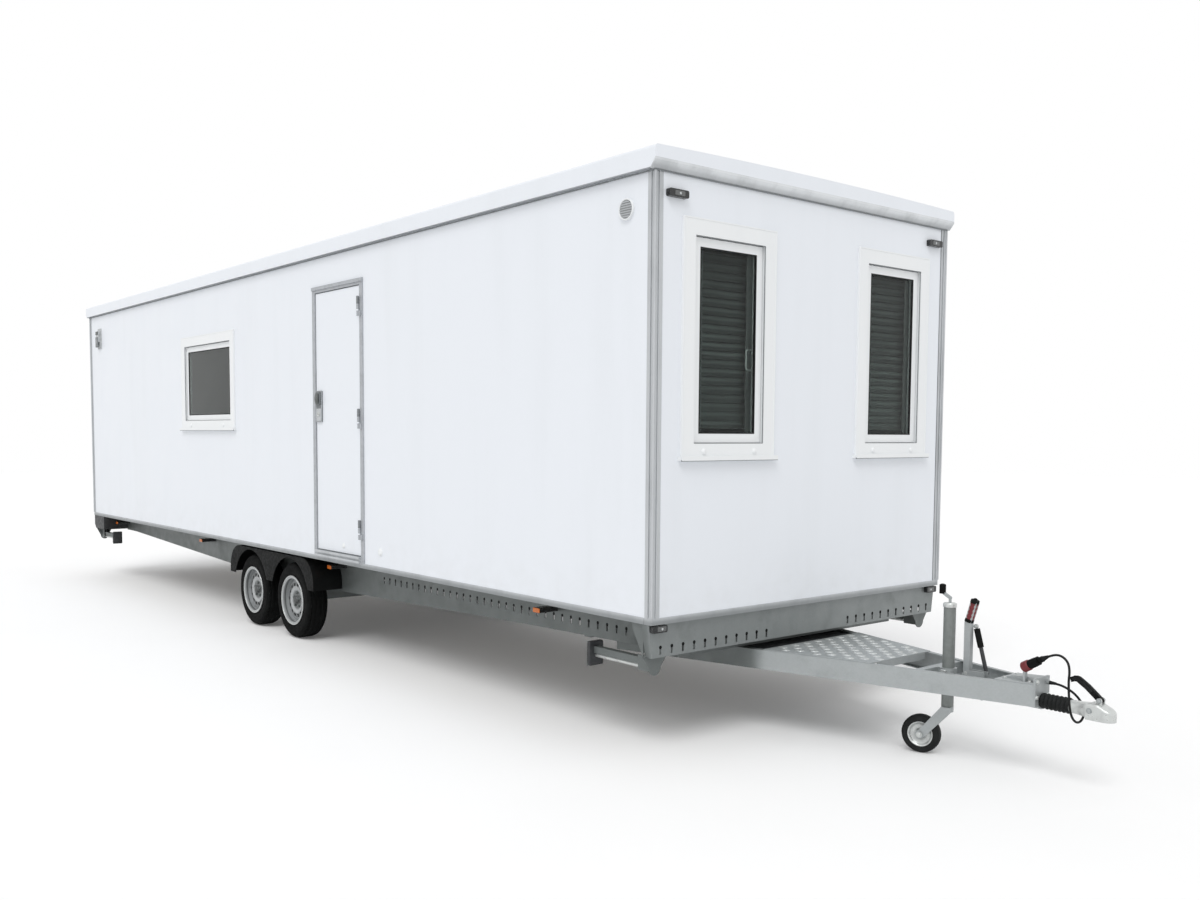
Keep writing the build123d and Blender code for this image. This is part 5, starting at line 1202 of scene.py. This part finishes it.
class CABIN_OT_steady_fittings(bpy.types.Operator):
    """Bright threaded screws and dark feet of the corner steadies"""

    bl_idname = "cabin.steady_fittings"
    bl_label = "Steady fittings"

    def execute(self, context):
        for name in CORNERS:
            self.make_steady(name)
        return {"FINISHED"}

    def make_steady(self, name):
        """A screw turned with a radius that waves along its thread, and a rounded foot at the far end."""
        radius, thread_depth, turns, plain_share, level = 0.0118, 0.0006, 40, 0.08, 0.440
        near_gap, far_gap, foot_in, foot_half = 0.004, 0.016, 0.012, (0.0135, 0.0485, 0.0662)
        body = f"steady_leg_{name}"
        low, high = box(body)
        middle = (low + high) / 2
        end, near, far = (1, high[0], low[0]) if name.startswith("front") else (-1, low[0], high[0])
        start = near - end * near_gap
        length = abs(far + end * far_gap - start)
        s = np.linspace(0, 1, 161)
        wave = radius + thread_depth * np.sin(s * turns * tau) * (s > plain_share)
        profile = np.concatenate([[(0, 0)], np.stack([length * s, wave], -1), [(length, 0)]])
        screw = lathe(profile, (start, middle[1], level), (-end, 0, 0), 16)
        put(f"steady_screw_{name}", screw, "bright_steel", body)
        foot = block((far + end * foot_in, middle[1], middle[2]), foot_half, softness=0.16)
        put(f"steady_foot_{name}", foot, "dark_steel", body)


# The lead's route from the gland to the plug, ahead of the body's front face

ROUTE = (
    (1.388, 0.040, 0.462), (1.426, 0.040, 0.462), (1.468, 0.046, 0.450), (1.506, 0.060, 0.422),
    (1.532, 0.070, 0.384), (1.546, 0.064, 0.344), (1.551, 0.036, 0.318), (1.552, 0.0, 0.309),
    (1.552, -0.038, 0.320), (1.550, -0.068, 0.350), (1.547, -0.082, 0.396), (1.544, -0.085, 0.450),
    (1.540, -0.084, 0.512), (1.543, -0.082, 0.560), (1.531, -0.078, 0.601), (1.493, -0.073, 0.624),
    (1.447, -0.066, 0.616), (1.404, -0.062, 0.591),
)


class CABIN_OT_lead(bpy.types.Operator):
    """The electric lead: one smooth spline from the gland round under the neck and up to its plug"""

    bl_idname = "cabin.lead"
    bl_label = "Lead"

    def execute(self, context):
        curve = bpy.data.curves.new("lead_cable", "CURVE")
        curve.dimensions = "3D"
        curve.bevel_depth = sizes().lead_diameter / 2
        curve.bevel_resolution = 5
        curve.resolution_u = 10
        curve.use_fill_caps = True
        spline = curve.splines.new("NURBS")
        spline.points.add(len(ROUTE) - 1)
        points = np.array(ROUTE) + (BODY_FRONT, 0, 0)
        spline.points.foreach_set("co", np.column_stack([points, np.ones(len(points))]).ravel())
        spline.order_u = 3
        spline.use_endpoint_u = True
        curve.materials.append(FINISHES["rubber_black"])
        piece = bpy.data.objects.new("lead_cable", curve)
        context.scene.collection.objects.link(piece)
        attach(piece, "cabin")
        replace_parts(piece, "lead")
        return {"FINISHED"}


class CABIN_OT_bellows(bpy.types.Operator):
    """Rubber bellows with turned folds, in place of the plain CAD solid"""

    bl_idname = "cabin.bellows"
    bl_label = "Bellows"

    def execute(self, context):
        bore, folds, fold_depth, cuff_depth, cuff_share = 0.0254, 7, 0.0065, 0.004, 0.03
        low, high = box("bellows")
        length, radius = high[0] - low[0], (high[2] - low[2]) / 2
        s = np.linspace(0, 1, 99)
        fold = 0.5 - 0.5 * np.cos(s * folds * tau)
        outer = radius - fold_depth * (1 - fold**0.7)
        outer = np.where((s < cuff_share) | (s > 1 - cuff_share), radius - cuff_depth, outer)
        profile = np.stack([s * length, outer], -1)
        profile = np.concatenate([[(0, bore)], profile, [(length, bore), (0, bore)]])
        shape = lathe(profile, (low[0], 0, (low[2] + high[2]) / 2), FORWARD, 48)
        piece = put("bellows_folds", shape, "rubber_black")
        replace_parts(piece, "bellows")
        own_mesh(piece)
        return {"FINISHED"}


# Stage


class CABIN_OT_stage(bpy.types.Operator):
    """Pale floor, soft light and the camera at the photograph's angle"""

    bl_idname = "cabin.stage"
    bl_label = "Stage"

    def execute(self, context):
        context.scene.view_settings.view_transform = "Standard"
        self.make_floor(context.scene)
        self.make_light(context.scene)
        self.make_camera(context.scene)
        return {"FINISHED"}

    def make_floor(self, scene):
        """A flat square grid just below the ground, with a little light of its own for the camera."""
        half, drop, glow = 40, 0.001, 0.07
        pale, paler = (0.91, 0.91, 0.91), (0.93, 0.93, 0.93)
        line = np.linspace(-half, half, 9)
        x, y = np.meshgrid(line, line, indexing="ij")
        points, faces = grid_shape(np.stack([x, y, 0 * x - drop], -1))
        mesh = bpy.data.meshes.new("studio_floor")
        mesh.from_pydata(points, [], faces[:, ::-1])
        floor = bpy.data.objects.new("studio_floor", mesh)
        scene.collection.objects.link(floor)
        paint = Finish("studio_paint", paler, 0.9, specular=0.1)
        paint.clouds(pale, amount=0.5, scale=0.6, detail=2, start=0.4, full=0.7)
        strength = paint.maths("MULTIPLY", paint.node("LightPath", {})["Is Camera Ray"], glow)
        paint.shade({"Emission Color": (1, 1, 1, 1), "Emission Strength": strength})
        mesh.materials.append(paint.material)

    def make_light(self, scene):
        """White world for what camera, metal and glass see, a little less of it as light, and a soft sun."""
        light_strength, seen_strength = 0.74, 1.0
        sun_strength, sun_spread, sun_from = 1.15, radians(30), Vector((0.36, -0.52, 0.78))
        world = bpy.data.worlds.new("studio")
        scene.world = world
        world.use_nodes = True
        tree = world.node_tree
        path = add_node(tree, "LightPath", {})
        seen = path["Is Camera Ray"]
        for ray in ("Is Transmission Ray", "Is Glossy Ray"):
            seen = add_node(tree, "Math", {0: seen, 1: path[ray]}, operation="MAXIMUM")["Value"]
        inputs = {"Value": seen, "To Min": light_strength, "To Max": seen_strength}
        strength = add_node(tree, "MapRange", inputs)["Result"]
        fill(tree, tree.nodes["Background"], {"Color": (1, 1, 1, 1), "Strength": strength})
        lamp = bpy.data.lights.new("studio_sun", "SUN")
        lamp.energy = sun_strength
        lamp.angle = sun_spread
        sun = bpy.data.objects.new("studio_sun", lamp)
        sun.rotation_euler = sun_from.to_track_quat("Z", "Y").to_euler()
        scene.collection.objects.link(sun)

    def make_camera(self, scene):
        """Eye point, turn and lens found by matching the cabin's edges to the photograph."""
        yaw, pitch, roll = radians(140.854), radians(-3.7736), radians(0.2776)
        ahead_of_front, beside_wall, above_panel = 3.98854, 3.74394, 0.91466
        ahead = Vector((cos(yaw) * cos(pitch), sin(yaw) * cos(pitch), sin(pitch)))
        level_right = Vector((sin(yaw), -cos(yaw), 0))
        level_up = level_right.cross(ahead)
        right = cos(roll) * level_right + sin(roll) * level_up
        up = -sin(roll) * level_right + cos(roll) * level_up
        camera = bpy.data.cameras.new("photo_camera")
        camera.sensor_width = 36
        camera.lens = 33.307
        camera.shift_x = 0.02145
        camera.shift_y = 0.04772
        camera.clip_end = 200
        holder = bpy.data.objects.new("photo_camera", camera)
        place = Vector((BODY_FRONT + ahead_of_front, -BODY_HALF - beside_wall, PANEL_LOW + above_panel))
        turn = Matrix((right, up, -ahead)).transposed().to_4x4()
        holder.matrix_world = Matrix.Translation(place) @ turn
        scene.collection.objects.link(holder)
        scene.camera = holder


class CABIN_PT_panel(bpy.types.Panel):
    """The cabin's operators and properties"""

    bl_idname = "CABIN_PT_panel"
    bl_label = "Site cabin"
    bl_space_type = "VIEW_3D"
    bl_region_type = "UI"
    bl_category = "Cabin"

    def draw(self, context):
        for operator in OPERATORS:
            self.layout.operator(operator.bl_idname)
        for group in (context.scene.cabin_colours, context.scene.cabin_sizes):
            column = self.layout.column()
            for name in group.bl_rna.properties.keys():
                if name not in ("rna_type", "name"):
                    column.prop(group, name)


GROUPS = (CabinColours, CabinSizes)
OPERATORS = (
    CABIN_OT_finishes,
    CABIN_OT_lead,
    CABIN_OT_bellows,
    CABIN_OT_tyres,
    CABIN_OT_wheel_fittings,
    CABIN_OT_window_fittings,
    CABIN_OT_door_fittings,
    CABIN_OT_lamp_lenses,
    CABIN_OT_wall_fittings,
    CABIN_OT_step_treads,
    CABIN_OT_drawbar_fittings,
    CABIN_OT_jockey_fittings,
    CABIN_OT_brake_fittings,
    CABIN_OT_coupling_fittings,
    CABIN_OT_plug_fittings,
    CABIN_OT_steady_fittings,
    CABIN_OT_stage,
)


def register():
    for item in (*GROUPS, *OPERATORS, CABIN_PT_panel):
        bpy.utils.register_class(item)
    bpy.types.Scene.cabin_colours = PointerProperty(type=CabinColours)
    bpy.types.Scene.cabin_sizes = PointerProperty(type=CabinSizes)


def unregister():
    del bpy.types.Scene.cabin_sizes
    del bpy.types.Scene.cabin_colours
    for item in reversed((*GROUPS, *OPERATORS, CABIN_PT_panel)):
        bpy.utils.unregister_class(item)


def main():
    register()
    for operator in OPERATORS:
        group, name = operator.bl_idname.split(".")
        getattr(getattr(bpy.ops, group), name)()


if __name__ == "__main__":
    main()
